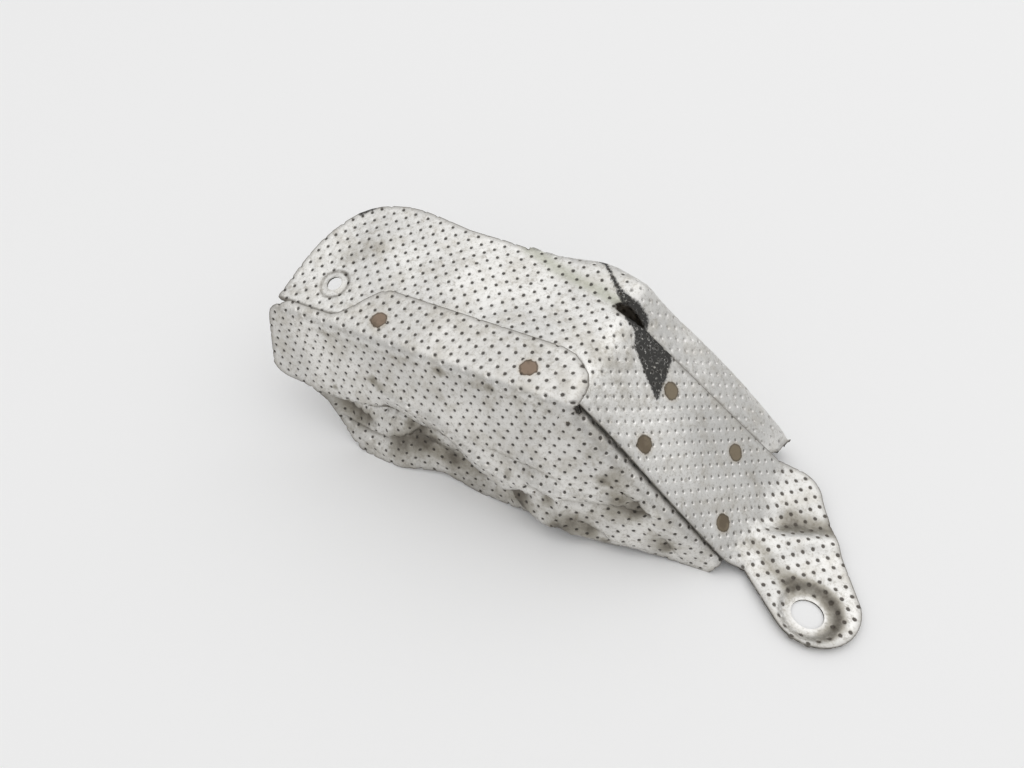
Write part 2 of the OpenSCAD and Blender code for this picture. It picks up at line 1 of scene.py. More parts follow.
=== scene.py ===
# %% [markdown]
# A heat shield keeps the heat of an exhaust off the parts around it. This one is two thin aluminium sheets,
# rolled with thousands of small dimples that stiffen them, then cut, folded into a hood and spot-welded
# together. The lesson follows the press shop: emboss a flat blank, cut it to its outline, fold it over a
# form, give it its thickness, and let heat and road dirt age it, with painted shade in its hollows and folds.
# %% Load the frame
import math

import bmesh
import bpy
import numpy as np
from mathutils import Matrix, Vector


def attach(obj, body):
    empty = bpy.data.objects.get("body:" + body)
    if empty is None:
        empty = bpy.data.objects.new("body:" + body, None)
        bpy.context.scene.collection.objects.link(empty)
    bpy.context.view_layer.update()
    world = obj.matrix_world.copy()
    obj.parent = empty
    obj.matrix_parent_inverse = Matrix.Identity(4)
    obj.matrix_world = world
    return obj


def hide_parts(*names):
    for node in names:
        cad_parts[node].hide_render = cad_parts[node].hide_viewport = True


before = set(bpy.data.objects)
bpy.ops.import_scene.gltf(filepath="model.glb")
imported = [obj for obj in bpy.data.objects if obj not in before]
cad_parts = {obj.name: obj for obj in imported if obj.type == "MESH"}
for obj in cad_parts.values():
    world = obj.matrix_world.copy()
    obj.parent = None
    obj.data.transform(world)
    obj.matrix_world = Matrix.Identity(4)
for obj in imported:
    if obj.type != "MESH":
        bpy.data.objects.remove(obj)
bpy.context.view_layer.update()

# %% [markdown]
# The camera comes first, because the fit of every fold is judged through it. It stands in front of the
# shield's right end and looks down at it. The lamps are large and soft, as in a photographer's white tent.
# %% Camera
camera_data = bpy.data.cameras.new("camera")
camera_data.lens = 28.125
camera_data.sensor_width = 36
camera_data.clip_start = 0.01
camera = bpy.data.objects.new("camera", camera_data)
bpy.context.scene.collection.objects.link(camera)
camera.location = (0.07875, -0.2020, 0.288)
camera.rotation_euler = (math.radians(90 - 48.5), 0, math.radians(28.5))
bpy.context.scene.camera = camera
bpy.context.scene.view_settings.view_transform = "Standard"
print("camera at", tuple(round(c, 3) for c in camera.location))

# %% [markdown]
# The shield is worked in millimetres: x runs along the hood from its open end to the ear, y back from the
# front bend, and z up from the floor. A few helpers move points between a mesh and an array, choose faces
# for the edit-mode tools, and apply a modifier at once, as a press shop finishes one step before the next.
# %% Small helpers for modelling by hand
MM = 0.001
ORIGIN = np.array([130.25, 33.0, 0.0])


def deselect_all():
    if bpy.context.mode != "OBJECT":
        bpy.ops.object.mode_set(mode="OBJECT")
    bpy.ops.object.select_all(action="DESELECT")


def make_active(piece):
    deselect_all()
    piece.select_set(True)
    bpy.context.view_layer.objects.active = piece


def points_of(piece):
    co = np.empty(len(piece.data.vertices) * 3)
    piece.data.vertices.foreach_get("co", co)
    return co.reshape(-1, 3)


def set_points(piece, co):
    piece.data.vertices.foreach_set("co", np.ascontiguousarray(co, dtype=np.float64).ravel())
    piece.data.update()


def choose_faces(piece, mask):
    """Selects just these faces, so that an edit-mode operator acts on them."""
    mask = np.asarray(mask, dtype=bool)
    piece.data.polygons.foreach_set("select", mask)
    corners = np.empty(len(piece.data.loops), dtype=np.int32)
    piece.data.loops.foreach_get("vertex_index", corners)
    edges = np.empty(len(piece.data.loops), dtype=np.int32)
    piece.data.loops.foreach_get("edge_index", edges)
    counts = np.empty(len(piece.data.polygons), dtype=np.int32)
    piece.data.polygons.foreach_get("loop_total", counts)
    chosen = np.repeat(mask, counts)
    picked = np.zeros(len(piece.data.vertices), dtype=bool)
    picked[corners[chosen]] = True
    piece.data.vertices.foreach_set("select", picked)
    lines = np.zeros(len(piece.data.edges), dtype=bool)
    lines[edges[chosen]] = True
    piece.data.edges.foreach_set("select", lines)


def face_centres(piece):
    centres = np.empty(len(piece.data.polygons) * 3)
    piece.data.polygons.foreach_get("center", centres)
    return centres.reshape(-1, 3)


def apply_modifier(piece, kind, **settings):
    make_active(piece)
    modifier = piece.modifiers.new(kind.lower(), kind)
    for name, value in settings.items():
        setattr(modifier, name, value)
    bpy.ops.object.modifier_apply(modifier=modifier.name)


print("helpers ready; the hood's open end lies at x =", -ORIGIN[0] * MM, "m")

# %% [markdown]
# The blank is embossed before it is cut. One tile of the pattern is modelled: a square of sheet with a
# small round pit pressed into it. Bridging a circle to a square gives clean faces with no spare ones,
# which matters because the tile is repeated some thousands of times. The pit narrows in two steps, each
# an extruded ring, and its floor is one face.
# %% One tile of the dimple pattern
PITCH = 4.45
PIT_RINGS = [(1.24, 0.0), (0.76, -0.26), (0.38, -0.64)]
PIT_DEPTH = -PIT_RINGS[-1][1]


def from_middle(tile):
    return np.hypot(*points_of(tile)[:, :2].T)


def square_with_round_hole():
    """A square frame, bridged to the rim of its pit."""
    deselect_all()
    bpy.ops.mesh.primitive_plane_add(size=PITCH)
    tile = bpy.context.object
    bpy.ops.object.mode_set(mode="EDIT")
    bpy.ops.mesh.subdivide(number_cuts=1)
    bpy.ops.mesh.delete(type="ONLY_FACE")
    bpy.ops.object.mode_set(mode="OBJECT")
    tile.data.vertices.foreach_set("select", from_middle(tile) < 0.1)
    bpy.ops.object.mode_set(mode="EDIT")
    bpy.ops.mesh.select_mode(type="VERT")
    bpy.ops.mesh.delete(type="VERT")
    bpy.ops.mesh.primitive_circle_add(vertices=8, radius=PIT_RINGS[0][0])
    bpy.ops.mesh.select_all(action="SELECT")
    bpy.ops.mesh.bridge_edge_loops()
    bpy.ops.mesh.select_all(action="DESELECT")
    bpy.ops.mesh.select_mode(type="EDGE")
    bpy.ops.object.mode_set(mode="OBJECT")
    return tile


def dimple_tile():
    tile = square_with_round_hole()
    rim = from_middle(tile) < PIT_RINGS[0][0] + 0.05
    tile.data.vertices.foreach_set("select", rim)
    for edge in tile.data.edges:
        edge.select = bool(rim[edge.vertices[0]] and rim[edge.vertices[1]])
    bpy.ops.object.mode_set(mode="EDIT")
    for (wide, high), (narrow, low) in zip(PIT_RINGS, PIT_RINGS[1:]):
        bpy.ops.mesh.extrude_region_move(TRANSFORM_OT_translate={"value": (0, 0, low - high)})
        bpy.ops.transform.resize(value=(narrow / wide, narrow / wide, 1))
    bpy.ops.mesh.edge_face_add()
    bpy.ops.mesh.select_all(action="SELECT")
    bpy.ops.mesh.normals_make_consistent(inside=False)
    bpy.ops.object.mode_set(mode="OBJECT")
    if tile.data.polygons[0].normal.z < 0:
        tile.data.flip_normals()
    return tile


def put_faces_in_order(piece):
    """Bridging lists its faces in any order; a fixed order makes every later cut the same each run."""
    faces = []
    for face in piece.data.polygons:
        first = list(face.vertices).index(min(face.vertices))
        faces.append((*face.vertices[first:], *face.vertices[:first]))
    ordered = bpy.data.meshes.new(piece.name)
    ordered.from_pydata(points_of(piece), [], sorted(faces))
    piece.data = ordered


tile = dimple_tile()
put_faces_in_order(tile)
print("one tile:", len(tile.data.vertices), "points,", len(tile.data.polygons), "faces, normals up:",
      min(p.normal.z for p in tile.data.polygons) > 0)

# %% [markdown]
# Rolling embosses the whole coil, so the tile is repeated by two Array modifiers, merged, and turned to
# the angle at which the blank was cut from the coil: on this shield the rows of dimples run aslant.
# %% The embossed blank
def embossed_blank(name, corner_low, corner_high, turn, keep):
    """A field of dimples over a box in the blank's plane; keep(u, v) is true where sheet is wanted."""
    centre = (np.array(corner_low) + np.array(corner_high)) / 2
    reach = np.hypot(*(np.array(corner_high) - np.array(corner_low))) / 2 + PITCH
    count = int(2 * reach / PITCH) + 1
    make_active(tile)
    bpy.ops.object.duplicate()
    blank = bpy.context.object
    blank.name = name
    apply_modifier(blank, "ARRAY", count=count, use_relative_offset=False, use_constant_offset=True,
                   constant_offset_displace=(PITCH, 0, 0), use_merge_vertices=True, merge_threshold=0.01)
    shift = -(count - 1) * PITCH / 2
    set_points(blank, points_of(blank) + np.array([shift, shift, 0]))
    apply_modifier(blank, "ARRAY", count=count, use_relative_offset=False, use_constant_offset=True,
                   constant_offset_displace=(0, PITCH, 0), use_merge_vertices=True, merge_threshold=0.01)
    bpy.ops.transform.rotate(value=math.radians(-turn), orient_axis="Z", center_override=(0, 0, 0))
    blank.location = (*centre, 0)
    bpy.ops.object.transform_apply(location=True, rotation=True, scale=True)
    centres = face_centres(blank)
    choose_faces(blank, ~keep(centres[:, 0], centres[:, 1]))
    bpy.ops.object.mode_set(mode="EDIT")
    bpy.ops.mesh.delete(type="FACE")
    bpy.ops.object.mode_set(mode="OBJECT")
    return blank


print("a blank of 100 mm takes", int(100 / PITCH) ** 2, "tiles")

# %% [markdown]
# Outlines and lines are lists of places. Three questions are asked of them all through the lesson: which
# points lie inside, how far each point lies from a line, and which points lie close to one.
# %% Measuring from lines and outlines
def closed(outline):
    return np.vstack([outline, outline[:1]])


def inside(outline, u, v):
    """True for each point (u, v) inside the closed outline, by counting crossings."""
    odd = np.zeros(len(u), dtype=bool)
    for (u0, v0), (u1, v1) in zip(outline, np.roll(outline, -1, axis=0)):
        spans = (v0 > v) != (v1 > v)
        if v0 != v1:
            odd ^= spans & (u < u0 + (v - v0) * (u1 - u0) / (v1 - v0))
    return odd


def distance_to_path(points, path):
    """How far each point lies from an open path; both are in the plane or both in space."""
    best = np.full(len(points), 1e3)
    path = np.array(path, dtype=float)
    for a, b in zip(path, path[1:]):
        run = b - a
        t = np.clip((points - a) @ run / max(run @ run, 1e-12), 0, 1)
        best = np.minimum(best, np.linalg.norm(points - a - t[:, None] * run, axis=1))
    return best


def near_outline(outline, u, v, reach):
    """True for each point within reach of the closed outline."""
    return distance_to_path(np.column_stack([u, v]), closed(outline)) < reach


print("rulers ready for lines and outlines")

# %% [markdown]
# The cutting die is the outline. Bisect cuts straight through whatever is selected, so each short stretch
# of the outline bisects only the faces beside it, and the scrap outside is deleted afterwards.
# %% The cutting die
CUT_REACH = 1.8


def middles(work):
    return np.array([face.calc_center_median()[:2] for face in work.faces])


def faces_beside(faces, start, along, length):
    """The faces close to one straight stretch of a cut, with their edges and points, always in one order."""
    parts = {}
    for face in faces:
        spot = np.array(face.calc_center_median()[:2]) - start
        on, off = spot @ along, abs(spot[0] * along[1] - spot[1] * along[0])
        if -CUT_REACH < on < length + CUT_REACH and off < CUT_REACH:
            parts.update(dict.fromkeys((face, *face.edges, *face.verts)))
    return list(parts)


def cut_blank(blank, outlines):
    """Cuts the blank along closed outlines: the first is the outside, the others are holes."""
    work = bmesh.new()
    work.from_mesh(blank.data)
    for outline in outlines:
        beside = near_outline(outline, *middles(work).T, CUT_REACH + 0.8)
        work.faces.ensure_lookup_table()
        faces = [work.faces[i] for i in np.flatnonzero(beside)]
        for start, end in zip(outline, np.roll(outline, -1, axis=0)):
            length = math.hypot(*(end - start))
            if length < 1e-6:
                continue
            along = (end - start) / length
            cut = bmesh.ops.bisect_plane(work, geom=faces_beside(faces, start, along, length),
                                         plane_co=(start[0], start[1], 0),
                                         plane_no=(along[1], -along[0], 0), dist=1e-4)
            known = set(faces)
            faces += [g for g in cut["geom"] if isinstance(g, bmesh.types.BMFace) and g not in known]
    centres = middles(work)
    keep = inside(outlines[0], centres[:, 0], centres[:, 1])
    for hole in outlines[1:]:
        keep &= ~inside(hole, centres[:, 0], centres[:, 1])
    work.faces.ensure_lookup_table()
    scrap = [work.faces[i] for i in np.flatnonzero(~keep)]
    bmesh.ops.delete(work, geom=scrap, context="FACES")
    bmesh.ops.remove_doubles(work, verts=list(work.verts), dist=0.02)
    bmesh.ops.dissolve_degenerate(work, edges=list(work.edges), dist=0.01)
    work.to_mesh(blank.data)
    work.free()
    blank.data.update()


def circle(centre, radius, count=32):
    turn = np.arange(count) * 2 * math.pi / count
    return np.column_stack([centre[0] + radius * np.cos(turn), centre[1] + radius * np.sin(turn)])


def refine(blank, mask):
    """Splits the chosen faces once more, where the form bends them tightly."""
    make_active(blank)
    choose_faces(blank, mask)
    bpy.ops.object.mode_set(mode="EDIT")
    bpy.ops.mesh.subdivide(number_cuts=1)
    bpy.ops.object.mode_set(mode="OBJECT")


def flatten(blank, centre, radius):
    """Crushes the dimples flat round a point of the blank, as a welding tip or a washer does."""
    co = points_of(blank)
    crushed = np.hypot(co[:, 0] - centre[0], co[:, 1] - centre[1]) < radius
    co[crushed, 2] = 0
    set_points(blank, co)


print("the die works on the faces within", CUT_REACH, "mm of a cut")

# %% [markdown]
# The form is the shape that the press gives the blank. It is written as plain functions of a place on
# the shield, in millimetres, with the same values that the solids were made from. One sheet runs over
# the level crown, the steep ramp and the ear, so their heights are blended where they meet: a soft
# minimum rounds the upper fold, and a soft maximum the lower one.
# %% The form of the crown, the ramp and the ear
SHEET, LAP = 0.8, 1.0
CROWN_L, CROWN_W = 140.0, 61.0
CROWN_FRONT_H, CROWN_BACK_H, CROWN_CLIMB = 57.0, 80.0, 13.0
BOLT_X, BOLT_Y, BOLT_R = 23.0, 18.0, 3.2
RAMP_RUN, RAMP_DROP, RAMP_TILT = 67.0, 64.0, 12.0
TOE_X = CROWN_L + RAMP_RUN
EAR_X, EAR_Y, EAR_H, EAR_RISE = 243.0, 5.0, 3.0, 0.13


def mix(a, b, t):
    return a + (b - a) * t


def ease(t):
    t = np.clip(t, 0, 1)
    return t * t * (3 - 2 * t)


def hump(t):
    return np.exp(-np.square(t))


def soft_min(a, b, k):
    h = np.maximum(k - np.abs(a - b), 0) / k
    return np.minimum(a, b) - h * h * k / 4


def soft_max(a, b, k):
    return -soft_min(-a, -b, k)


def bend_z(x):
    return CROWN_FRONT_H + CROWN_CLIMB * x / CROWN_L


def from_bolt_hole(x, y):
    return np.hypot(x - BOLT_X, y - BOLT_Y)


def from_ear_hole(x, y):
    return np.hypot(x - EAR_X, y - EAR_Y)


def ear_z(x, y):
    """The ear climbs away from its hole, aslant, and two waves lie across it."""
    away = (y - EAR_Y) * 0.77 - (x - EAR_X) * 0.63 - 19
    wave = 1.1 * (hump((away - 9) / 6) - hump((away - 21) / 6))
    return EAR_H + EAR_RISE * soft_max(away, np.zeros_like(away), 3) + wave * ease(away / 6)


def top_z(x, y):
    crown = mix(bend_z(x), CROWN_BACK_H, y / CROWN_W)
    ramp = bend_z(CROWN_L) - (x - CROWN_L) * RAMP_DROP / RAMP_RUN + RAMP_TILT * y / CROWN_W
    return soft_max(soft_min(crown, ramp, 4.0), ear_z(x, y), 5.0)


def top_point(x, y, lift=0.0):
    """A place on the form, moved out by lift along the form's normal."""
    step = 0.01
    slope_x = (top_z(x + step, y) - top_z(x - step, y)) / (2 * step)
    slope_y = (top_z(x, y + step) - top_z(x, y - step)) / (2 * step)
    normal = np.stack([-slope_x, -slope_y, np.ones_like(slope_x)], axis=-1)
    normal /= np.linalg.norm(normal, axis=-1, keepdims=True)
    return np.stack([x, y, top_z(x, y)], axis=-1) + np.asarray(lift)[..., None] * normal


def seam_y(x):
    """The ramp's cut front edge."""
    return mix(4.5, 8.0, (x - CROWN_L) / RAMP_RUN)


def ridge_y(x):
    """The ramp's cut back edge."""
    return mix(47.0, 60.0, (x - CROWN_L) / RAMP_RUN)


print("the crown's front edge climbs from", bend_z(0), "to", bend_z(CROWN_L), "mm")

# %% [markdown]
# Folding hardly stretches the sheet, so a place on the blank is found by its length along the form: u is
# measured along the hood through the crown's middle, and v across it with one factor for the slope.
# %% From the blank to the form and back
MIDDLE_Y = 25.0
STATIONS = np.linspace(-4, 264, 537)
STATION_Z = top_z(STATIONS, np.full_like(STATIONS, MIDDLE_Y))
ALONG = np.concatenate([[0], np.cumsum(np.hypot(np.diff(STATIONS), np.diff(STATION_Z)))])
ALONG -= np.interp(0, STATIONS, ALONG)
ACROSS = 1.055


def blank_u(x):
    return np.interp(x, STATIONS, ALONG)


def station(u):
    return np.interp(u, ALONG, STATIONS)


def flat(points):
    """Places (x, y) on the shield, as places (u, v) on the blank."""
    points = np.array(points, dtype=float)
    return np.column_stack([blank_u(points[:, 0]), ACROSS * points[:, 1]])


print("flat, the top sheet is", round(float(blank_u(261)), 1), "mm long")

# %% [markdown]
# Behind the crown the same sheet swells into a shoulder and turns down into the back wall. Its cross
# section, a rib, is a soft curve drawn by six control points, one rib to each millimetre of the hood. The
# blank is flat, so a place on it is found by its length along the rib, and a table does the lookup.
# %% The form of the shoulder
SHOULDER_X = 92.0
RIB_STEP = 0.25


def groove_y(x):
    """The soft groove where the crown ends and the shoulder begins."""
    return mix(CROWN_W, 51.0, (x - SHOULDER_X) / 48.0)


def shoulder_growth(x):
    return ease((x - SHOULDER_X) / 38.0)


def shoulder_edge_y(x):
    bulge = 4.5 * hump((x - 123) / 16)
    bow = np.where(x > CROWN_L, 2.5 * np.sin(np.pi * (x - CROWN_L) / RAMP_RUN), 0)
    return mix(63.0, np.maximum(47.0, ridge_y(x)) + 18 + bulge + bow, shoulder_growth(x))


def border_y(x):
    gap = 4.0 * (1 - ease((x - CROWN_L) / 20))
    return np.where(x < CROWN_L, groove_y(x), ridge_y(x) + gap)


def border_point(x):
    """Where the shoulder leaves the crown or, a sheet's thickness lower, the ramp."""
    return top_point(x, border_y(x), -LAP * ease((x - CROWN_L) / 10))


def shoulder_skew(x):
    """How far the shoulder's outer edge runs ahead of its border beside the ear."""
    return 8 * ease((x - 187) / 20)


def soft_curve(controls, t):
    """A soft curve drawn by control points, given as a list of arrays (stations, 2)."""
    last = len(controls) - 3
    k = min(last, int(t * (last + 1)))
    u = t * (last + 1) - k
    a = controls[0] if k == 0 else (controls[k] + controls[k + 1]) / 2
    b = controls[-1] if k == last else (controls[k + 1] + controls[k + 2]) / 2
    return (1 - u) ** 2 * a + 2 * u * (1 - u) * controls[k + 1] + u * u * b


RIB_X = np.arange(90.0, 209.01, 1.0)
RIB_BORDER = border_point(RIB_X)
RIB_ROUND = 1 - np.sqrt(1 - np.square(np.clip((RIB_X - 181) / 26, 0, 1)))
RIB_FOOT = (RIB_BORDER[:, 2] - 2) * RIB_ROUND
RIB_DEPTH = RIB_BORDER[:, 2] - RIB_FOOT
RIB_W = shoulder_edge_y(RIB_X) - RIB_BORDER[:, 1]


def shoulder_section():
    """Offsets (y, z) from the border along each rib at even steps, the ribs' lengths and their ends."""
    w, depth, zero = RIB_W, RIB_DEPTH, RIB_W * 0
    rise = 2 * shoulder_growth(RIB_X) * mix(1, 0.4, ease((RIB_X - CROWN_L) / 20))
    controls = [np.stack(pair, axis=-1) for pair in (
        (zero, zero), (0.3 * w, rise), (0.75 * w, 1.6 * rise), (w, zero),
        (w, -np.minimum(5, 0.5 * depth)), (w - 0.5, -np.minimum(13, 0.95 * depth)))]
    curve = np.stack([soft_curve(controls, t) for t in np.linspace(0, 1, 81)], axis=1)
    lengths = np.linalg.norm(np.diff(curve, axis=1), axis=2)
    reach = np.concatenate([np.zeros((len(w), 1)), np.cumsum(lengths, axis=1)], axis=1)
    grid = np.arange(0, 60.01, RIB_STEP)
    table = np.stack([np.stack([np.interp(grid, reach[i], curve[i, :, c]) for c in (0, 1)], axis=-1)
                      for i in range(len(w))])
    return table, reach[:, -1], curve[:, -1]


RIB_TABLE, RIB_REACH, RIB_END = shoulder_section()


def lookup(table, row, column):
    """Reads a table between its rows and columns."""
    r = np.clip(row, 0, table.shape[0] - 1.001)
    c = np.clip(column, 0, table.shape[1] - 1.001)
    i, j = r.astype(int), c.astype(int)
    fr, fc = (r - i)[..., None], (c - j)[..., None]
    return ((1 - fr) * ((1 - fc) * table[i, j] + fc * table[i, j + 1])
            + fr * ((1 - fc) * table[i + 1, j] + fc * table[i + 1, j + 1]))


def rib_place(x, offset, skew):
    """A rib's offset (y, z) laid at its border, and carried ahead down the ramp's slope."""
    fall = skew * RAMP_DROP / RAMP_RUN
    return border_point(x) + np.stack([skew, offset[:, 0], offset[:, 1] - fall], axis=-1)


def shoulder_point(x, q):
    """A place on the shoulder, q millimetres of sheet beyond its border; below 0 lies the tucked flange."""
    offset = lookup(RIB_TABLE, x - RIB_X[0], np.maximum(q, 0) / RIB_STEP)
    skew = shoulder_skew(x) * np.clip(offset[:, 0] / np.interp(x, RIB_X, RIB_W), 0, 1)
    point = rib_place(x, offset, skew)
    left = np.interp(x, RIB_X, RIB_REACH) - q
    droop = 3.0 * np.square(np.clip((x - 201.5) / 5.5, 0, 1)) * ease(q / 3) * ease((left - 1) / 7)
    crease = 0.55 * hump((q - 5.5) / 1.3) - 0.35 * hump((q - 9) / 2.5) + 0.4 * hump((q - 14) / 1.5)
    point[:, 2] += crease * ease((x - 141) / 10) * ease((left - 1) / 4) - droop
    tucked = top_point(x, border_y(x) + q / 1.02, -LAP * ease((x - CROWN_L) / 10))
    return np.where((q < 0)[:, None], tucked, point)


def wall_end(x):
    """Where each rib of the shoulder ends and the back wall starts: (x, y, z)."""
    end = np.stack([np.interp(x, RIB_X, RIB_END[:, c]) for c in (0, 1)], axis=-1)
    return rib_place(x, end, shoulder_skew(x))


def rib_ends(xs):
    """The ends of some ribs, as places on the blank."""
    xs = np.array(xs, dtype=float)
    return np.column_stack([blank_u(xs), ACROSS * border_y(xs) + np.interp(xs, RIB_X, RIB_REACH)])


print("the shoulder's ribs hold", round(float(RIB_REACH.min()), 1), "to", round(float(RIB_REACH.max()), 1),
      "mm of sheet")

# %% [markdown]
# The dish round the ear's hole and the washer's ring round the bolt hole are pressed last, so they are
# rings added to the height. Handling has left shallow bumps and hollows, and has bent the ear to and fro.
# %% Dish, washer ring and dents
DISH_R, DISH_LAND_R, DISH_DEPTH = 13.0, 8.25, 2.2
EAR_HOLE_R = 6.25
DENTS = [(0.7, 74, 11, 42, 9), (-0.6, 98, 12, 33, 8), (-0.5, 48, 9, 30, 10), (0.45, 28, 8, 44, 7),
         (-0.5, 120, 9, 40, 7), (0.4, 60, 14, 57, 5), (0.5, 178, 9, 30, 9), (-0.45, 160, 7, 22, 8)]


def dish(x, y):
    return -DISH_DEPTH * ease((DISH_R - from_ear_hole(x, y)) / (DISH_R - DISH_LAND_R))


def bolt_ring(x, y):
    """The ring that a washer has pressed round the crown's bolt hole, and the hole's raised lip."""
    r = from_bolt_hole(x, y)
    return -0.35 * hump((r - 5.7) / 0.7) - 0.15 * (r < 5.0) + 0.25 * hump((r - BOLT_R) / 0.5)


def dents(x, y):
    """Shallow bumps and hollows of the crown and the ramp, whose front edge has lifted a little."""
    height = 0.9 * hump((x - 156) / 15) * ease((seam_y(x) + 7 - y) / 7) * ease((x - 142) / 8)
    for high, at_x, long, at_y, wide in DENTS:
        height = height + high * hump((x - at_x) / long) * hump((y - at_y) / wide)
    return height * (from_bolt_hole(x, y) > 5)


EAR_VALLEY = [(214, 36), (220, 37), (228, 40), (236, 42.5), (247, 46.5)]
EAR_HOLLOW = [(214, 22.5), (219, 21.5), (225, 17.5), (231, 14.5)]


def ear_dents(x, y):
    """A valley runs over the ear with a ridge beside it, and a hollow runs up to its dish."""
    spots = np.column_stack([x, y])
    valley = distance_to_path(spots, EAR_VALLEY)
    hollow = distance_to_path(spots, EAR_HOLLOW)
    ridge = distance_to_path(spots, np.array(EAR_VALLEY) + [3.5, -7.5])
    depth = -1.5 * hump(valley / 4.2) - 0.9 * hump(hollow / 3.6) + 0.7 * hump(ridge / 3.0)
    return depth * ease((x - 210) / 8) * ease((from_ear_hole(x, y) - 10) / 5)


print("the dish is pressed", DISH_DEPTH, "mm deep; the crown and the ramp have", len(DENTS), "dents")

# %% [markdown]
# One map now takes any place on the blank to its place on the pressed sheet. The shoulder before the ramp
# belongs to the same piece as the crown, so the map changes over at the groove.
# %% The whole top sheet as one map from the blank
def form_main(u, v):
    x, y = station(u), v / ACROSS
    point = top_point(x, y)
    point[:, 2] += dish(x, y) + bolt_ring(x, y) + dents(x, y) + ear_dents(x, y)
    return point


def form_beside(u, v):
    """The shoulder, before and beside the ramp."""
    x = station(u)
    return shoulder_point(x, v - ACROSS * border_y(x))


def form_top(u, v):
    x = station(u)
    beyond = (x > SHOULDER_X - 0.05) & (x <= CROWN_L + 0.01) & (v > ACROSS * groove_y(x))
    return np.where(beyond[:, None], form_beside(u, v), form_main(u, v))


print("the blank's middle lands at", form_top(np.array([140.0]), np.array([30.0]))[0].round(1), "mm")

# %% [markdown]
# The outline of the top blank runs down the ramp's front edge, round the ear, up the ramp's back edge,
# along the end of the shoulder and back round the crown. The ear's tip and its back corner are arcs that
# straight sides touch, as on a bracket drawn with compasses.
# %% The outline of the top blank
EAR_NECK, EAR_CORNER, EAR_TIP = np.array([216.0, 10.0]), np.array([222.0, 50.0]), np.array([244.0, 9.0])
EAR_TIP_R, EAR_CORNER_R = 17.5, 14.0


def arc(centre, radius, first, last, count):
    turns = np.linspace(first, last, count)
    return [(centre[0] + radius * math.cos(a), centre[1] + radius * math.sin(a)) for a in turns]


def ear_outline():
    """The ear from the ramp's front edge round its tip to the ramp's back edge, as (x, y)."""
    reach, side = EAR_TIP - EAR_NECK, EAR_TIP - EAR_CORNER
    heading = math.atan2(reach[1], reach[0]) - math.asin(EAR_TIP_R / math.hypot(*reach))
    way = math.sqrt(reach @ reach - EAR_TIP_R ** 2)
    touch = EAR_NECK + way * np.array([math.cos(heading), math.sin(heading)]) - EAR_TIP
    narrowing = math.asin((EAR_TIP_R - EAR_CORNER_R) / math.hypot(*side))
    facing = math.atan2(side[1], side[0]) + math.pi / 2 - narrowing
    tip_arc = arc(EAR_TIP, EAR_TIP_R, math.atan2(touch[1], touch[0]), facing, 20)
    corner_arc = arc(EAR_CORNER, EAR_CORNER_R, facing, math.pi / 2, 9)
    front = [(TOE_X + 9 * t, 8 + 2 * float(ease(t))) for t in (0, 0.35, 0.7, 1)]
    back = [(TOE_X + 15 * t, 60 + 4 * float(ease(t))) for t in (0.7, 0.35, 0)]
    return front + tip_arc + corner_arc + back


ramp_xs = [140, 143, 147, 155, 170, 185, 198, 203]
ramp_front = flat([(x, seam_y(x)) for x in ramp_xs])
ramp_back = flat([(x, ridge_y(x)) for x in ramp_xs[::-1]])
ear_edge = flat(ear_outline())
crown_edge = flat([
    (92, 61), (80, 60.9), (73, 60.4), (65, 60.0), (57, 60.7), (49, 61.4), (41, 61.8), (34, 61.2), (27, 59.3),
    (22, 57.2), (18, 54.6), (14, 51.0), (10.5, 46), (7.4, 40), (5.2, 34), (3.7, 27), (2.8, 20), (2.4, 13),
    (2.1, 8.6), (1.7, 6.4), (2.2, 5.0), (3.6, 4.5)])
shoulder_edge = rib_ends([140, 130, 120, 110, 100, 92])
main_outline = np.vstack([ramp_front, ear_edge, ramp_back, shoulder_edge, crown_edge])
print("the top blank's outline has", len(main_outline), "corners")

# %% [markdown]
# One field of dimples serves the whole top sheet. Its faces are split once more where the press bends the
# sheet tightly: at the dish, round the bolt hole, and under the edge of the flange that laps over it. The
# washer and the welding tips crush the dimples flat. The hole at the crown's back corner has torn.
# %% Emboss and cut the top blank
FLANGE_CORNER_X, FLANGE_CORNER_Y, FLANGE_CORNER_R = 127.0, 8.0, 14.0


def flange_y(x):
    """The cut edge of the front sheet's flange, where it lies on the crown."""
    straight = mix(5, 22, ease((x - 30) / 20))
    beyond = np.maximum(0, x - FLANGE_CORNER_X)
    corner = FLANGE_CORNER_Y + np.sqrt(np.maximum(0, FLANGE_CORNER_R ** 2 - np.square(beyond)))
    return np.where(x < FLANGE_CORNER_X, straight, corner)


def copy_of(piece, name):
    make_active(piece)
    bpy.ops.object.duplicate()
    copy = bpy.context.object
    copy.name = name
    return copy


FLANGE_XS = [3, 28, 33, 37, 41, 45, 50, 80, 110, 127, 133, 137, 139, 140.9]
FLANGE_EDGE = [(x, float(flange_y(np.array(x)))) for x in FLANGE_XS + [140.9]] + [(141, 6)]
WELD_R = 3.9
TOP_WELDS = [(166.0, ridge_y(166.0) - 12), (196.0, ridge_y(196.0) - 12), (166.0, seam_y(166.0) + 9),
             (202.0, 19.0)]
LATTICE_TOP = 44.0
low, high = main_outline.min(axis=0) - 1, np.array([main_outline[:, 0].max() + 1, 118.0])
field = embossed_blank("field", low, high, LATTICE_TOP,
                       lambda u, v: (u > low[0]) & (u < high[0]) & (v > low[1]) & (v < high[1]))
spots = face_centres(field)[:, :2]
ear_centre, bolt_centre = flat([(EAR_X, EAR_Y), (BOLT_X, BOLT_Y)])
near_hole = np.hypot(*(spots - ear_centre).T) < DISH_R + 0.5
near_bolt = np.hypot(*(spots - bolt_centre).T) < 7.5
near_flange = distance_to_path(spots, flat(FLANGE_EDGE)) < 2.2
refine(field, near_hole | near_bolt | near_flange)
flatten(field, bolt_centre, 5.6)
flatten(field, ear_centre, 8.8)
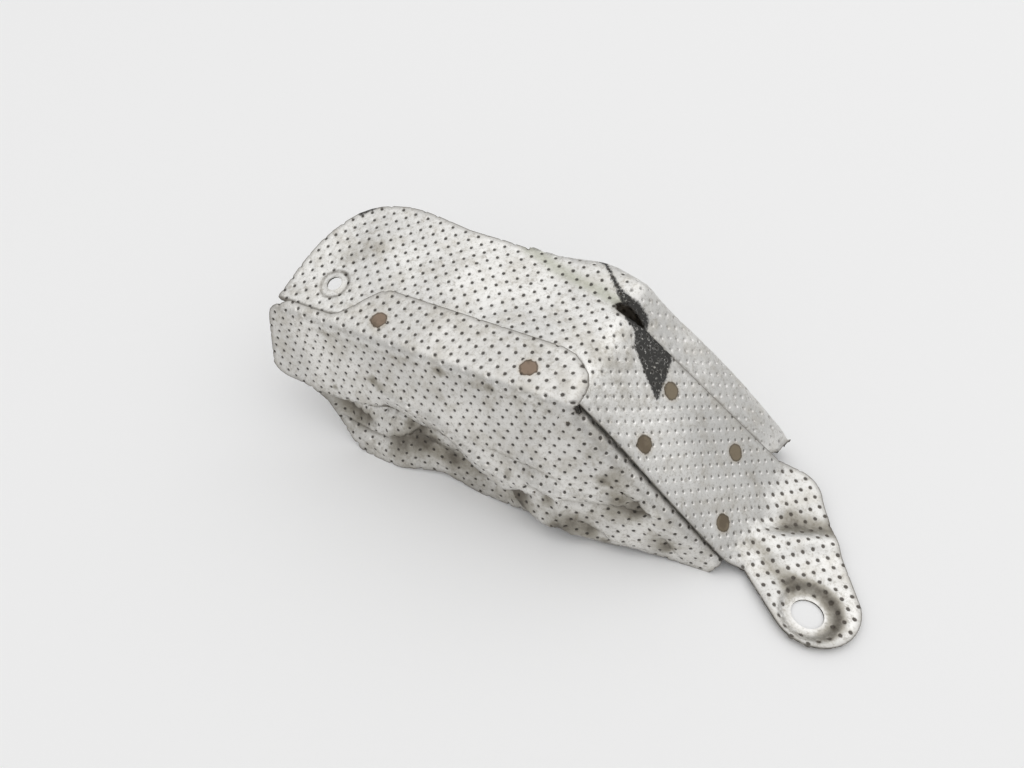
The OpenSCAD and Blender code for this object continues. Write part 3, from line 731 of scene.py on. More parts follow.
for weld in flat(TOP_WELDS):
    flatten(field, weld, WELD_R)
torn_hole = flat([
    (135.7, 49.4), (136.6, 47.5), (138.2, 46.6), (140.2, 46.2), (142.0, 46.3), (144.9, 47.2), (147.8, 48.3),
    (149.4, 49.4), (147.5, 52.5), (141, 53.0), (139.0, 51.0), (137.0, 50.8)])
main = copy_of(field, "main_blank")
round_holes = [circle(ear_centre, EAR_HOLE_R, 40), circle(bolt_centre, BOLT_R, 24)]
cut_blank(main, [main_outline, *round_holes, torn_hole])
print("cut blank:", len(main.data.polygons), "faces")

# %% [markdown]
# Beside the ramp the shoulder is a separate layer, because the ramp laps over its flange. Both layers
# come from one embossed field, so their dimples and their cut edges match where they join.
# %% The shoulder beside the ramp
WALL_STOP_X = 201.5
beside_xs = np.array([140, 142, 144, 147, 149.0])
tuck_xs = np.array([149, 154, 160, 170, 180, 190, 200, 207.0])
tuck_in = np.interp(tuck_xs, [149, 160], [5, 18])
tucked_edge = flat(np.column_stack([tuck_xs, border_y(tuck_xs)])) - np.column_stack([0 * tuck_in, tuck_in])
round_end = np.array([(blank_u(x), ACROSS * border_y(TOE_X) + q)
                      for x, q in ((207, 0.5), (207.9, 3), (208.7, 6), (208.5, 9), (207.6, 12))])
free_ribs = rib_ends([207, 206, 205, 204, 203, 202, WALL_STOP_X])
beside_outline = np.vstack([
    flat(np.column_stack([beside_xs, border_y(beside_xs)])),
    tucked_edge,
    round_end,
    free_ribs,
    rib_ends([200, 190, 180, 170, 160, 154, 149]),
    rib_ends(beside_xs[::-1]),
])
beside = copy_of(field, "beside_blank")
cut_blank(beside, [beside_outline])
print("shoulder beside the ramp:", len(beside.data.polygons), "faces")

# %% [markdown]
# The blanks are pressed over the form. Each point goes to its place, and then out along the sheet's
# normal by as much as its dimple is deep. Two numbers stay with the points for the material: pit tells how
# deep a point lies in its dimple, and cut how far it lies from a cut edge.
# %% Press a blank over its form
def form(blank, place, cut_paths):
    co = points_of(blank)
    from_cut = np.min([distance_to_path(co[:, :2], path) for path in cut_paths], axis=0)
    emboss = co[:, 2].copy()
    set_points(blank, (place(co[:, 0], co[:, 1]) - ORIGIN) * MM)
    normals = np.empty(len(co) * 3)
    blank.data.vertex_normals.foreach_get("vector", normals)
    set_points(blank, points_of(blank) + normals.reshape(-1, 3) * emboss[:, None] * MM)
    pit = blank.data.attributes.new("pit", "FLOAT", "POINT")
    pit.data.foreach_set("value", np.clip(-emboss / PIT_DEPTH, 0, 1))
    cut = blank.data.attributes.new("cut", "FLOAT", "POINT")
    cut.data.foreach_set("value", np.minimum(from_cut, 50))


form(main, form_top, [np.vstack([crown_edge, ramp_front, ear_edge, ramp_back]), closed(torn_hole)])
form(beside, form_beside, [closed(torn_hole), np.vstack([tucked_edge[-1:], round_end, free_ribs])])
print("crown, ramp and ear pressed:", [round(float(c), 3) for c in points_of(main).max(axis=0)], "m at most")

# %% [markdown]
# The back wall is nearly flat, so its blank lies in the wall's own plane, seen from behind. It stops a
# millimetre short of the shoulder's last fold, and the joint is closed later. Where the shoulder's end
# rounds up towards the ear, the wall runs out, and from there on the shoulder's edge is free.
# %% The back wall
WALL_TOP = wall_end(RIB_X)
LATTICE_BACK = 38.0


def back_wall_point(a, z):
    """A place on the back wall; a runs the other way along the hood, for the blank is seen from behind."""
    x = np.interp(-a, WALL_TOP[:, 0], RIB_X)
    top = wall_end(x)
    return np.stack([-a, top[:, 1] - 0.06 * (top[:, 2] - z), z], axis=-1)


def back_wall_foot(x):
    return np.maximum(np.interp(x, RIB_X, RIB_FOOT) - shoulder_skew(x) * RAMP_DROP / RAMP_RUN, 0)


head_xs = np.array([92, 100, 110, 120, 130, 137, 140, 143, 147, 155, 165, 175, 183, 190, 196, 199,
                    WALL_STOP_X])
foot_xs = np.array([WALL_STOP_X, 199, 197, 192, 187, 181, 92.0])
head_edge = np.column_stack([-wall_end(head_xs)[:, 0], wall_end(head_xs)[:, 2] - 1.0])
foot_edge = np.column_stack([-wall_end(foot_xs)[:, 0], back_wall_foot(foot_xs)])
back_outline = np.vstack([head_edge, foot_edge])
back = embossed_blank("back_blank", back_outline.min(axis=0), back_outline.max(axis=0), LATTICE_BACK,
                      lambda a, z: inside(back_outline, a, z) | near_outline(back_outline, a, z, 4))
cut_blank(back, [back_outline])
form(back, back_wall_point, [foot_edge])
print("back wall:", len(back.data.polygons), "faces")

# %% [markdown]
# The front sheet is folded along its long front bend, whose crest follows the top sheet. Below the bend
# the wall leans out, tucks in below a long crease and flares out again to the skirt's foot, which is cut
# in a wavy line.
# %% The form of the front wall
BEND_R = 4.2
FOOT_WAVE = [(46, 0), (66, 0.4), (76, 1.6), (87, 2.8), (96, 1.2), (106, 0), (120, 1.3), (134, 4.0),
             (145, 7.5), (150, 4.5), (156, 0.8), (163, 0.8), (171, 5.4), (177, 2.5), (192, 0.3), (204, 0)]
WALL_CORNER_R = 8.0


def crest_y(x):
    return mix(0, 5, ease((x - TOE_X + 40) / 42))


def crest_lift(x):
    """The crest rides over the crown, and dives under the ramp where the flange ends."""
    return LAP * (1 - 2 * ease((x - 141) / 3))


def wall_lean(x):
    return mix(0.2, 0.05, ease((x - CROWN_L) / RAMP_RUN))


def wall_y(x, z):
    return crest_y(x) - wall_lean(x) * (top_z(x, crest_y(x)) - z)


def crease_z(x):
    return 30 - 7 * (1 - hump((x - 70) / 30)) - 16 * ease((x - 90) / 60)


def skirt_y(x):
    return mix(-mix(12, 6.5, ease((x - 66) / 24)), 5, ease((x - 134) / 83))


def foot_z(x):
    """The skirt's cut foot: high at the open end, where its corner is round, then down to the floor."""
    wave = np.interp(x, *np.transpose(FOOT_WAVE))
    beyond = np.maximum(0, WALL_CORNER_R - 1 - x)
    corner = WALL_CORNER_R - np.sqrt(np.maximum(0, WALL_CORNER_R ** 2 - np.square(beyond)))
    return 24 * (1 - ease((x - 18) / 32)) + corner + wave


print("the wall's crease stands", [round(float(crease_z(x)), 1) for x in (10, 70, 150)], "mm above the floor")

# %% [markdown]
# Knocks have crumpled the wall. Each crumple is a path over the wall, given as (x, z), with the depth and
# the reach of its crease: the sheet folds sharply, and one side of the fold is steeper than the other.
# Six short pleats gather the skirt near its open end.
# %% The crumples of the wall
CRUMPLES = [
    (3.0, 4.5, [(60, 30), (66, 30), (77, 27.5), (88, 29), (95, 25), (99, 17.5), (105, 13.5), (112, 15),
                (118, 13), (126, 18)]),
    (-1.4, 3.2, [(62, 38.5), (70, 38), (80, 37), (87, 35.5), (95, 32), (102, 28.4), (109, 25.5),
                 (116, 24.5), (124, 24)]),
    (1.8, 2.8, [(16, 25), (24, 22.2), (30, 20.6), (42, 17.6), (50, 16)]),
    (1.6, 2.2, [(30.8, 14), (40, 11), (52, 10.4), (60, 11), (70, 15.4), (75, 22.6)]),
    (-1.2, 3.0, [(40, 6), (52, 6), (62, 6)]),
    (1.3, 2.2, [(112, 33.9), (123, 33.7), (131, 33.8), (139, 33.6)]),
    (-0.7, 2.4, [(114, 37.5), (128, 37.5), (140, 37)]),
    (1.5, 2.4, [(128, 23.8), (136.6, 23.2), (142, 23.1), (149, 24.5), (157, 25.9), (163, 26.4),
                (170, 26.6), (176, 26)]),
    (-1.2, 3.0, [(130, 28), (142, 28), (150, 30), (163, 31)]),
    (1.3, 1.8, [(166, 34.5), (170.5, 31.5), (173.5, 28.5), (176.6, 25)]),
    (1.1, 1.6, [(166, 28), (170.5, 31.5), (174, 36.4)]),
    (1.4, 1.8, [(153, 14.5), (155.7, 12.8), (160, 11), (164, 7.5)]),
    (-1.2, 2.0, [(142, 24), (143.8, 18), (146.5, 12)]),
    (1.0, 1.6, [(184, 14), (187, 9.5), (190, 6)]),
]
CRUMPLES += [(0.9, 1.2, [(39 + 4.4 * k, 13), (40.5 + 4.4 * k, 26)]) for k in range(6)]


def crumple(x, z):
    """How far the wall is knocked in, by the sum of its crumples; each has its steep side above."""
    knocked = 0 * x
    for depth, width, path in CRUMPLES:
        best = np.full(np.shape(x), 1e3)
        below = np.ones(np.shape(x), dtype=bool)
        for (x0, z0), (x1, z1) in zip(path, path[1:]):
            run_x, run_z = x1 - x0, z1 - z0
            t = np.clip(((x - x0) * run_x + (z - z0) * run_z) / (run_x ** 2 + run_z ** 2), 0, 1)
            gap = np.hypot(x - x0 - t * run_x, z - z0 - t * run_z)
            side = (x - x0) * run_z - (z - z0) * run_x > 0
            below = np.where(gap < best, side, below)
            best = np.minimum(best, gap)
        reach = np.where(below, width, 0.45 * width)
        knocked = knocked + depth * np.exp(-(best / reach) ** 1.4)
    return knocked * ease((z - foot_z(x)) / 4)


def pinch(x, z):
    """A long shallow dent below the crease, which runs out at both ends."""
    t = (x - 52) / 64
    return 2.2 * np.sin(np.pi * np.clip(t, 0, 1)) ** 2 * hump((z - 18 + 7 * t) / 4)


def wall_point(x, z):
    crease = np.maximum(crease_z(x), foot_z(x) + 2)
    below = np.clip((crease - z) / crease, 0, 1)
    tuck = 5 * ease((x - 18) / 24) * (1 - ease((x - 110) / 50))
    flare = mix(wall_y(x, crease), skirt_y(x), below) + pinch(x, z)
    flare = flare + tuck * ease((crease - z) / 3) * (1 - below)
    return np.stack([x, np.where(z > crease, wall_y(x, z), flare) + crumple(x, z), z], axis=-1)


print(len(CRUMPLES), "crumples in the wall")

# %% [markdown]
# The front blank lies in the plane of the wall, seen from the front, with the crest of the bend at its
# true place. Below the crest, the blank's height is measured as length down the wall, so the dimples
# crowd nowhere. A table holds the height that is reached after each step down the wall.
# %% From the front blank to the wall
CREST_X = np.arange(-4.0, 210.01, 0.5)
CREST = top_point(CREST_X, crest_y(CREST_X), crest_lift(CREST_X))
CREST_SLOPE = np.gradient(CREST[:, 2], CREST[:, 0])
CREST_N = np.stack([-CREST_SLOPE, np.ones_like(CREST_SLOPE)], axis=-1)
CREST_N /= np.linalg.norm(CREST_N, axis=-1, keepdims=True)
CROWN_N = np.array([-CROWN_CLIMB, CROWN_L]) / math.hypot(CROWN_CLIMB, CROWN_L)
FALL_X = np.arange(-4.0, 208.01, 1.0)
FALL_STEP = 0.25


def crest_z(x):
    return np.interp(x, CREST[:, 0], CREST[:, 2])


def wall_fall():
    """The height reached after each step of sheet down the wall, by stations, and the foot's distance."""
    rows = []
    feet = []
    for x in FALL_X:
        z = np.linspace(float(crest_z(x)), float(foot_z(np.array(x))) - 4, 400)
        points = wall_point(np.full(400, x), z)
        length = np.concatenate([[0], np.cumsum(np.linalg.norm(np.diff(points, axis=0), axis=1))])
        rows.append(np.interp(np.arange(0, 120, FALL_STEP), length, z))
        feet.append(np.interp(-float(foot_z(np.array(x))), -z, length))
    return np.array(rows)[..., None], np.array(feet)


FALL_TABLE, FALL_FOOT = wall_fall()


def unrolled(path):
    """A path over the wall, given as (x, z), as places on the flat blank."""
    rows = [int(round(x - FALL_X[0])) for x, _ in path]
    down = [np.interp(-z, -FALL_TABLE[row, :, 0], np.arange(FALL_TABLE.shape[1]) * FALL_STEP)
            for row, (_, z) in zip(rows, path)]
    return np.array([(x, float(crest_z(x)) - drop) for (x, _), drop in zip(path, down)])


def wall_place(x, z):
    """A place on the blank below the bend, laid on the wall."""
    depth = np.maximum(crest_z(x) - z, 0)
    height = lookup(FALL_TABLE, x - FALL_X[0], depth / FALL_STEP)[:, 0]
    return wall_point(x, height)


print("the front sheet is", round(float(FALL_FOOT.max()), 1), "mm deep below its bend")

# %% [markdown]
# Above the crest lie the flange, which laps over the crown, and the strip, which is tucked under the ramp.
# For each place on the blank, the nearest place on the crest is found first, and how far beyond it, s, the
# place lies. The crest has a corner where the ramp starts, and the flange must not fan out there, so all
# of it is measured along the crown's own normal. The bend takes less sheet than its two legs would, and
# that slack is given back to the legs.
# %% From the front blank to the bend, the flange and the strip
FLANGE_STOP_X = 142.3
SLACK, TURN = 0.19 * BEND_R, 0.81 * BEND_R


def crest_normal(x):
    n = np.stack([np.interp(x, CREST_X, CREST_N[:, c]) for c in (0, 1)], axis=-1)
    return n / np.linalg.norm(n, axis=1, keepdims=True)


def nearest_crest(x, z):
    """For each place on the blank: the crest's station, how far beyond it, and how far it is flange."""
    flat_point = np.stack([x, z], axis=-1)
    k = np.square(flat_point[:, None, :] - CREST[None, :, ::2]).sum(axis=2).argmin(axis=1)
    along = np.stack([CREST_N[k, 1], -CREST_N[k, 0]], axis=-1)
    off = flat_point - CREST[k][:, ::2]
    s = (off * CREST_N[k]).sum(axis=1)
    crest_at = CREST_X[k] + (off * along).sum(axis=1) * along[:, 0] * (np.abs(s) < 30)
    flange_at = x
    for _ in range(4):
        flange_s = (z - crest_z(flange_at)) / CROWN_N[1]
        flange_at = x - flange_s * CROWN_N[0]
    on_flange = (flange_at < FLANGE_STOP_X) & (s > 0)
    share = ease((s - 0.4) / 2.0) * on_flange
    return mix(crest_at, flange_at, share), mix(s, flange_s, share), share, on_flange


def front_place(x, z):
    """A place on the front blank, laid on the wall, the bend, the flange or the strip."""
    xc, s, share, on_flange = nearest_crest(x, z)
    yc = crest_y(xc)
    crest = top_point(xc, yc, crest_lift(xc))
    on_strip = ease((s - 0.4) / 2.0) * (xc > 141) * ~on_flange
    lift = mix(mix(crest_lift(xc), LAP, share), -LAP - 0.3, on_strip)
    ahead = top_point(xc + 0.05, crest_y(xc + 0.05)) - top_point(xc - 0.05, crest_y(xc - 0.05))
    ahead /= np.linalg.norm(ahead, axis=1, keepdims=True)
    across = np.cross(top_point(xc, yc, np.ones_like(xc)) - top_point(xc, yc), ahead)
    n = crest_normal(xc)

    def laid(reach):
        return top_point(xc + reach * across[:, 0], yc + reach * across[:, 1], lift)

    fade = SLACK * (1 - ease((-s - TURN) / 10))
    wall = wall_place(x - fade * n[:, 0], z - fade * n[:, 1])
    t = np.clip((s + TURN) / (2 * TURN), 0, 1)[:, None]
    low = wall_place(crest[:, 0] - BEND_R * n[:, 0], crest[:, 2] - BEND_R * n[:, 1])
    bend = (1 - t) ** 2 * low + 2 * t * (1 - t) * crest + t ** 2 * laid(np.full_like(s, BEND_R))
    out = np.where((s > TURN)[:, None], laid(s + SLACK), bend)
    return np.where((s < -TURN)[:, None], wall, out)


print("the bend takes", round(2 * TURN, 1), "mm of sheet")

# %% [markdown]
# The front blank is embossed from the same coil, cut from it at another angle. Two welding tips have
# crushed its dimples. It is refined along the bend and along the creases before it is cut and pressed.
# %% Emboss, cut and fold the front sheet
LATTICE_FRONT = 72.0
FLANGE_WELDS = np.array([(52.0, 9.0), (119.0, 10.0)])


def strip_y(x):
    return crest_y(x) + BEND_R + 24 * ease((214 - x) / 16)


def above_bend(xs, reach):
    """Places on the blank beyond the bend, reach millimetres of sheet past the crest."""
    xs = np.array(xs, dtype=float)
    crest = np.stack([np.interp(xs, CREST_X, CREST[:, c]) for c in (0, 2)], axis=-1)
    n = np.where((xs < 142)[:, None], CROWN_N, crest_normal(xs))
    return crest + n * (np.asarray(reach) - SLACK)[:, None]


foot_run = np.concatenate([[0, 0.5, 1.6, 3.4, 7, 12, 18], np.arange(22, 204, 4), [204]]).astype(float)
strip_run = np.array([204, 201, 197, 192, 185, 175, 165, 155, 147, 144.0])
flange_run = np.array([141, 140.5, 139, 136.5, 133, 127, 100, 50, 46, 42, 39, 36, 33, 30, 9.0])
front_outline = np.vstack([
    np.column_stack([foot_run, crest_z(foot_run) - np.interp(foot_run, FALL_X, FALL_FOOT)]),
    above_bend(strip_run, 1.03 * (strip_y(strip_run) - crest_y(strip_run))),
    above_bend([144, 143, 142, 141], np.array([2.6, 1.9, 1.9, 2.6])),
    above_bend(flange_run, 1.07 * flange_y(flange_run)),
    [(5.5, 60.6), (3.8, 59.9), (2.2, 58.6), (1.1, 56.9), (0.3, 54.4), (0, 51.0)],
])
front = embossed_blank("front_blank", front_outline.min(axis=0), front_outline.max(axis=0), LATTICE_FRONT,
                       lambda a, z: inside(front_outline, a, z) | near_outline(front_outline, a, z, 4))
for weld in above_bend(FLANGE_WELDS[:, 0], 1.07 * FLANGE_WELDS[:, 1]):
    flatten(front, weld, WELD_R)
spots = face_centres(front)[:, :2]
crest_gap = np.abs(spots[:, 1] - crest_z(spots[:, 0])) * np.interp(spots[:, 0], CREST_X, CREST_N[:, 1])
crease_gap = np.min([distance_to_path(spots, unrolled(path)) for depth, width, path in CRUMPLES], axis=0)
refine(front, (crest_gap < 3.6) | (crease_gap < 2.4))
cut_blank(front, [front_outline])
form(front, front_place, [closed(front_outline)])
print("front sheet:", len(front.data.polygons), "faces")

# %% [markdown]
# The three parts of the top sheet are joined. The crown's shoulder and the shoulder beside the ramp were
# cut along the same line of one field, so the points on both sides of that cut merge by distance.
# %% Join the top sheet
make_active(main)
beside.select_set(True)
back.select_set(True)
bpy.ops.object.join()
top = bpy.context.object
top.name = "top_sheet_embossed"
bpy.ops.object.mode_set(mode="EDIT")
bpy.ops.mesh.select_mode(type="VERT")
bpy.ops.mesh.select_all(action="DESELECT")
bpy.ops.object.mode_set(mode="OBJECT")
rib_line = (shoulder_point(np.full(40, CROWN_L), np.linspace(0, 34, 40)) - ORIGIN) * MM
top.data.vertices.foreach_set("select", distance_to_path(points_of(top), rib_line) < 0.6 * MM)
bpy.ops.object.mode_set(mode="EDIT")
bpy.ops.mesh.remove_doubles(threshold=0.05 * MM)
bpy.ops.mesh.select_all(action="DESELECT")
bpy.ops.object.mode_set(mode="OBJECT")
print("top sheet joined:", len(top.data.polygons), "faces")

# %% [markdown]
# On the real shield the shoulder turns down into the back wall without a joint. Here a gap of about a
# millimetre is left between them, whose two edges are found as open edges near the fold. They hold
# different numbers of points, so the gap is closed like a zip: from the open end on, each triangle steps
# ahead on the row whose next point comes first.
# %% Close the fold of the back wall
def open_edges(piece):
    """Indices of the edges that have a face on one side only."""
    corners = np.empty(len(piece.data.loops), dtype=np.int32)
    piece.data.loops.foreach_get("edge_index", corners)
    used = np.bincount(corners, minlength=len(piece.data.edges))
    return np.flatnonzero(used == 1)


def zip_rows(piece, upper, lower):
    """Closes the narrow gap between two rows of points, both sorted along the hood, with triangles."""
    work = bmesh.new()
    work.from_mesh(piece.data)
    work.verts.ensure_lookup_table()
    i, j, made = 0, 0, 0
    while i < len(upper) - 1 or j < len(lower) - 1:
        a, b = work.verts[upper[i]], work.verts[lower[j]]
        ahead_a = work.verts[upper[i + 1]].co.x if i < len(upper) - 1 else 1e9
        ahead_b = work.verts[lower[j + 1]].co.x if j < len(lower) - 1 else 1e9
        if ahead_a <= ahead_b:
            i += 1
            corners = [a, b, work.verts[upper[i]]]
        else:
            j += 1
            corners = [a, b, work.verts[lower[j]]]
        face = work.faces.new(corners)
        face.normal_update()
        if face.normal.y < 0:
            face.normal_flip()
        made += 1
    work.to_mesh(piece.data)
    work.free()
    piece.data.update()
    return made


co = points_of(top) / MM + ORIGIN
ends = np.empty(len(top.data.edges) * 2, dtype=np.int32)
top.data.edges.foreach_get("vertices", ends)
rim = ends.reshape(-1, 2)[open_edges(top)]
rim = rim[(distance_to_path(co, WALL_TOP) < 1.7)[rim].all(axis=1)]
below = np.interp(co[:, 0], WALL_TOP[:, 0], WALL_TOP[:, 2]) - co[:, 2] > 0.5
wall_stop = wall_end(np.array([WALL_STOP_X]))[0, 0]
at_open_end = (co[rim][:, :, 0] < SHOULDER_X + 0.02).all(axis=1)
at_wall_stop = (co[rim][:, :, 0] > wall_stop - 0.06).all(axis=1)
rim = rim[~(at_open_end | at_wall_stop)]
rows = []
for lower in (False, True):
    row = np.unique(rim[(below[rim] == lower).all(axis=1)])
    rows.append([int(k) for k in row[np.argsort(co[row, 0])]])
print("rows of", len(rows[0]), "and", len(rows[1]), "points; triangles between them:", zip_rows(top, *rows))
print("open edges left:", len(open_edges(top)))

# %% [markdown]
# Only now does the sheet get its thickness, inwards, so that the outside stays where the form put it. The
# Solidify modifier gives the cut edges and the inside materials of their own. The weighted normals keep
# the lands between the dimples flat, and the lowest points are set down on the floor.
# %% Thickness and smooth shading
for piece in (top, front):
    piece.data.materials.clear()
    for slot in ("sheet", "cut_edge", "inside"):
        piece.data.materials.append(bpy.data.materials.new(slot))
    apply_modifier(piece, "SOLIDIFY", thickness=SHEET * MM, offset=-1, use_even_offset=False,
                   material_offset_rim=1, material_offset=2)
    make_active(piece)
    bpy.ops.object.shade_smooth_by_angle(angle=math.radians(66))
    apply_modifier(piece, "WEIGHTED_NORMAL", keep_sharp=True, weight=80)
front.name = "front_sheet_embossed"
for piece, node in ((top, "top_sheet"), (front, "front_sheet")):
    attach(piece, "root")
    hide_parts(node)
    resting = points_of(piece)
    resting[:, 2] = np.maximum(resting[:, 2], 0)
    set_points(piece, resting)
    triangles = sum(len(p.vertices) - 2 for p in piece.data.polygons)
    print(piece.name, "has", triangles, "triangles")
for spare in (tile, field):
    bpy.data.objects.remove(spare)

# %% [markdown]
# The floor is plain and pale. Two soft lamps stand behind on the right and above. The world is the tent
# round them: it grows from grey at floor level to white overhead, so that steep sides shade off.
# %% Floor and lamps
deselect_all()
bpy.ops.mesh.primitive_plane_add(size=6.0, location=(0, 0, 0))
floor = bpy.context.object
floor.name = "floor"
floor_paint = bpy.data.materials.new("pale_floor")
floor_paint.use_nodes = True
floor_paint.node_tree.nodes["Principled BSDF"].inputs["Base Color"].default_value = (0.90, 0.90, 0.90, 1)
floor_paint.node_tree.nodes["Principled BSDF"].inputs["Roughness"].default_value = 0.8
floor.data.materials.append(floor_paint)


def soft_lamp(name, place, aim, size, watts):
    data = bpy.data.lights.new(name, "AREA")
    data.shape = "DISK"
    data.size = size
    data.energy = watts
    lamp = bpy.data.objects.new(name, data)
    bpy.context.scene.collection.objects.link(lamp)
    lamp.location = place
    lamp.rotation_euler = (Vector(aim) - Vector(place)).to_track_quat("-Z", "Y").to_euler()


soft_lamp("back_right_lamp", (1.3, 1.8, 2.2), (0, 0, 0.03), 3.6, 14)
soft_lamp("overhead_lamp", (-0.6, -0.2, 3.0), (0, 0, 0.03), 3.4, 9)
world = bpy.data.worlds.new("tent")
bpy.context.scene.world = world
world.use_nodes = True
tent = world.node_tree
ramp_node = tent.nodes.new("ShaderNodeValToRGB")
split = tent.nodes.new("ShaderNodeSeparateXYZ")
place = tent.nodes.new("ShaderNodeTexCoord")
tent.links.new(place.outputs["Generated"], split.inputs[0])
tent.links.new(split.outputs["Z"], ramp_node.inputs["Fac"])
tent.links.new(ramp_node.outputs["Color"], tent.nodes["Background"].inputs["Color"])
for element, (height, grey) in zip(ramp_node.color_ramp.elements, [(0.15, 0.62), (0.85, 0.98)]):
    element.position = height
    element.color = (grey, grey, grey, 1)
tent.nodes["Background"].inputs["Strength"].default_value = 0.90

# %% [markdown]
# The real surface is worn satin aluminium, bright on the lands and brown where a welding tip heated it. Down
# in each dimple it is painted black, with dirt and with painted shade, and round the torn hole lie black
# patches. Each of these follows the sheet, so each is first stored on the points as a plain number, mostly a
# distance in millimetres, and the material then draws its ragged edge where that number, shaken by noise,
# crosses a limit. This cell draws the marks.
# %% Where the marks lie
def on_crown(spots):
    spots = np.array(spots, dtype=float)
    return top_point(spots[:, 0], spots[:, 1])


ramp_run_xs = np.arange(141, 207, 3.0)
under_lap = np.full(len(ramp_run_xs), -LAP)
WELDS = np.vstack([on_crown(TOP_WELDS), on_crown(FLANGE_WELDS)])
GROOVE = on_crown([(92, 61), (100, 59), (108, 56), (118, 54), (128, 53), (138, 50)])
FLANGE_CUT = on_crown(FLANGE_EDGE)
RIDGE_LINE = top_point(ramp_run_xs, ridge_y(ramp_run_xs) + 0.6, under_lap)
SEAM_LINE = top_point(ramp_run_xs, seam_y(ramp_run_xs), under_lap)
STRIP_FOLD = CREST[(CREST_X > 144) & (CREST_X < 200)][::8]
BLACK_PATCH_ON_RAMP = np.array([
    (141.5, 45.5), (146.8, 44.3), (148.2, 40.0), (152.8, 37.2), (158.9, 33.7), (163.5, 31.7), (162.8, 41.5),
    (161.9, 48.8), (160.6, 51.5), (150, 50.5), (141, 48.5)])
BLACK_BAND_PATCH = np.array([
    (118.5, 73), (119.6, 66.5), (123.2, 65.1), (127.6, 60.9), (131, 57), (135.3, 53.2), (137.5, 51.0),
    (141, 50.6), (149.4, 49.6), (149.4, 53.0), (147, 55.2), (143.5, 54.6), (140.0, 54.2), (136.4, 55.6),
    (132.6, 58.4), (127.8, 62.8), (123.3, 67.8), (121.6, 73)])
SMUDGE = np.array([
    (12.5, 50.5), (15.5, 54), (18.5, 57), (22, 59.5), (24, 59.5), (21.5, 56.4), (18.2, 53.4), (15, 49.6)])
print(len(WELDS), "welds, and soot round the torn hole")

# %% [markdown]
# Stains are soft round clouds, given by strength, size and place: over the top sheet as (x, y), over the wall
# as (x, z). Together they follow the darker places of the photographed shield, thickest below the wall's
# creases, in the dish and in the ear's valley. Some are stains; the clouds below the wall's creases, in the
# dish and in the ear's valley and hollow are painted shade together with dirt.
# %% Stains and painted shade
TOP_STAINS = [
    (0.55, 9, (29, 39)), (0.4, 6, (22, 30)), (0.35, 5, (8, 11)), (0.3, 7, (36, 12)), (0.25, 12, (60, 45)),
    (0.3, 6, (100, 45)), (0.25, 9, (126, 30)), (0.45, 4, (139, 25)), (0.38, 13, (149, 30)),
    (0.34, 11, (147, 10)), (0.3, 7, (180, 45)), (0.35, 6, (205, 45)), (0.55, 4, (EAR_X - 9, 15)),
    (0.3, 9, (226, 40))]
WALL_STAINS_AND_SHADE = [
    (1.1, 2.6, (54, 43)), (0.9, 2.4, (57.5, 40.5)), (1.6, 1.3, (33.9, 29.7)), (1.6, 1.5, (52.7, 26.1)),
    (0.9, 1.8, (86, 62)), (0.9, 1.6, (107.8, 64.5)), (0.8, 6, (183, 13)), (0.6, 5, (36, 19)),
    (0.5, 9, (100, 12)), (0.6, 9, (150, 14)), (1.3, 7, (76, 17)), (1.0, 5, (66, 11)), (0.9, 5, (90, 12)),
    (0.7, 8, (168, 26)), (0.7, 7, (22, 20)), (0.8, 6, (45, 15)), (0.7, 6, (128, 12)), (0.5, 5, (160, 44)),
    (0.5, 5, (150, 52)), (0.9, 3, (186, 9)), (0.8, 3, (157, 11)), (0.9, 3, (138, 22)), (0.6, 4, (128, 31)),
    (0.55, 10, (164, 34)), (0.60, 9, (147, 12)), (0.55, 8, (126, 13)), (0.9, 3.2, (172, 27)),
    (0.8, 2.4, (120, 27)), (0.9, 2.0, (70, 23)), (0.8, 2.0, (82, 19)), (0.8, 2.4, (157, 40)),
    (0.9, 2.6, (144, 9)), (0.9, 2.6, (125, 12)), (0.8, 3.0, (163, 5)), (0.35, 9, (100, 30))]


def stain_and_shade_clouds(spots, a, b):
    return sum(strength * hump(np.hypot(a - at, b - up) / size) for strength, size, (at, up) in spots)


def dish_shade_and_dirt(x, y):
    """Painted shade with dirt in the dish, darkest on the side away from the ramp, which faces away from the
    lamps.
    """
    r = from_ear_hole(x, y)
    facing = ((x - EAR_X) * 0.75 + (y - EAR_Y) * 0.66) / np.maximum(r, 1)
    return hump((r - 11.0) / 3.2) * (0.85 + 0.65 * facing) + 0.35 * hump((r - 8) / 1.2)


def ear_shade_and_dirt_bands(x, y):
    """Dark bands of painted shade with dirt in the ear's valley and hollow."""
    spots = np.column_stack([x, y])
    valley = hump(distance_to_path(spots, EAR_VALLEY) / 5.2) * ease((x - 216) / 10)
    return valley + 0.75 * hump(distance_to_path(spots, EAR_HOLLOW) / 4.4)


print(len(TOP_STAINS) + len(WALL_STAINS_AND_SHADE), "stain_and_shade_clouds")

# %% [markdown]
# Each sheet gets its numbers: distances to the welds, to the groove, to the lines of painted shade with dirt
# along folds and edges, and to the black patches, below zero inside a patch; a strength of stains and painted
# shade; and how wide and how black the dimples are painted, with dirt and painted shade.
# %% Wear and painted shade, stored on the points
def inside_distance(outline, x, y):
    """Distance to an outline, below zero inside it."""
    gap = distance_to_path(np.column_stack([x, y]), closed(outline))
    return np.where(inside(outline, x, y), -gap, gap)


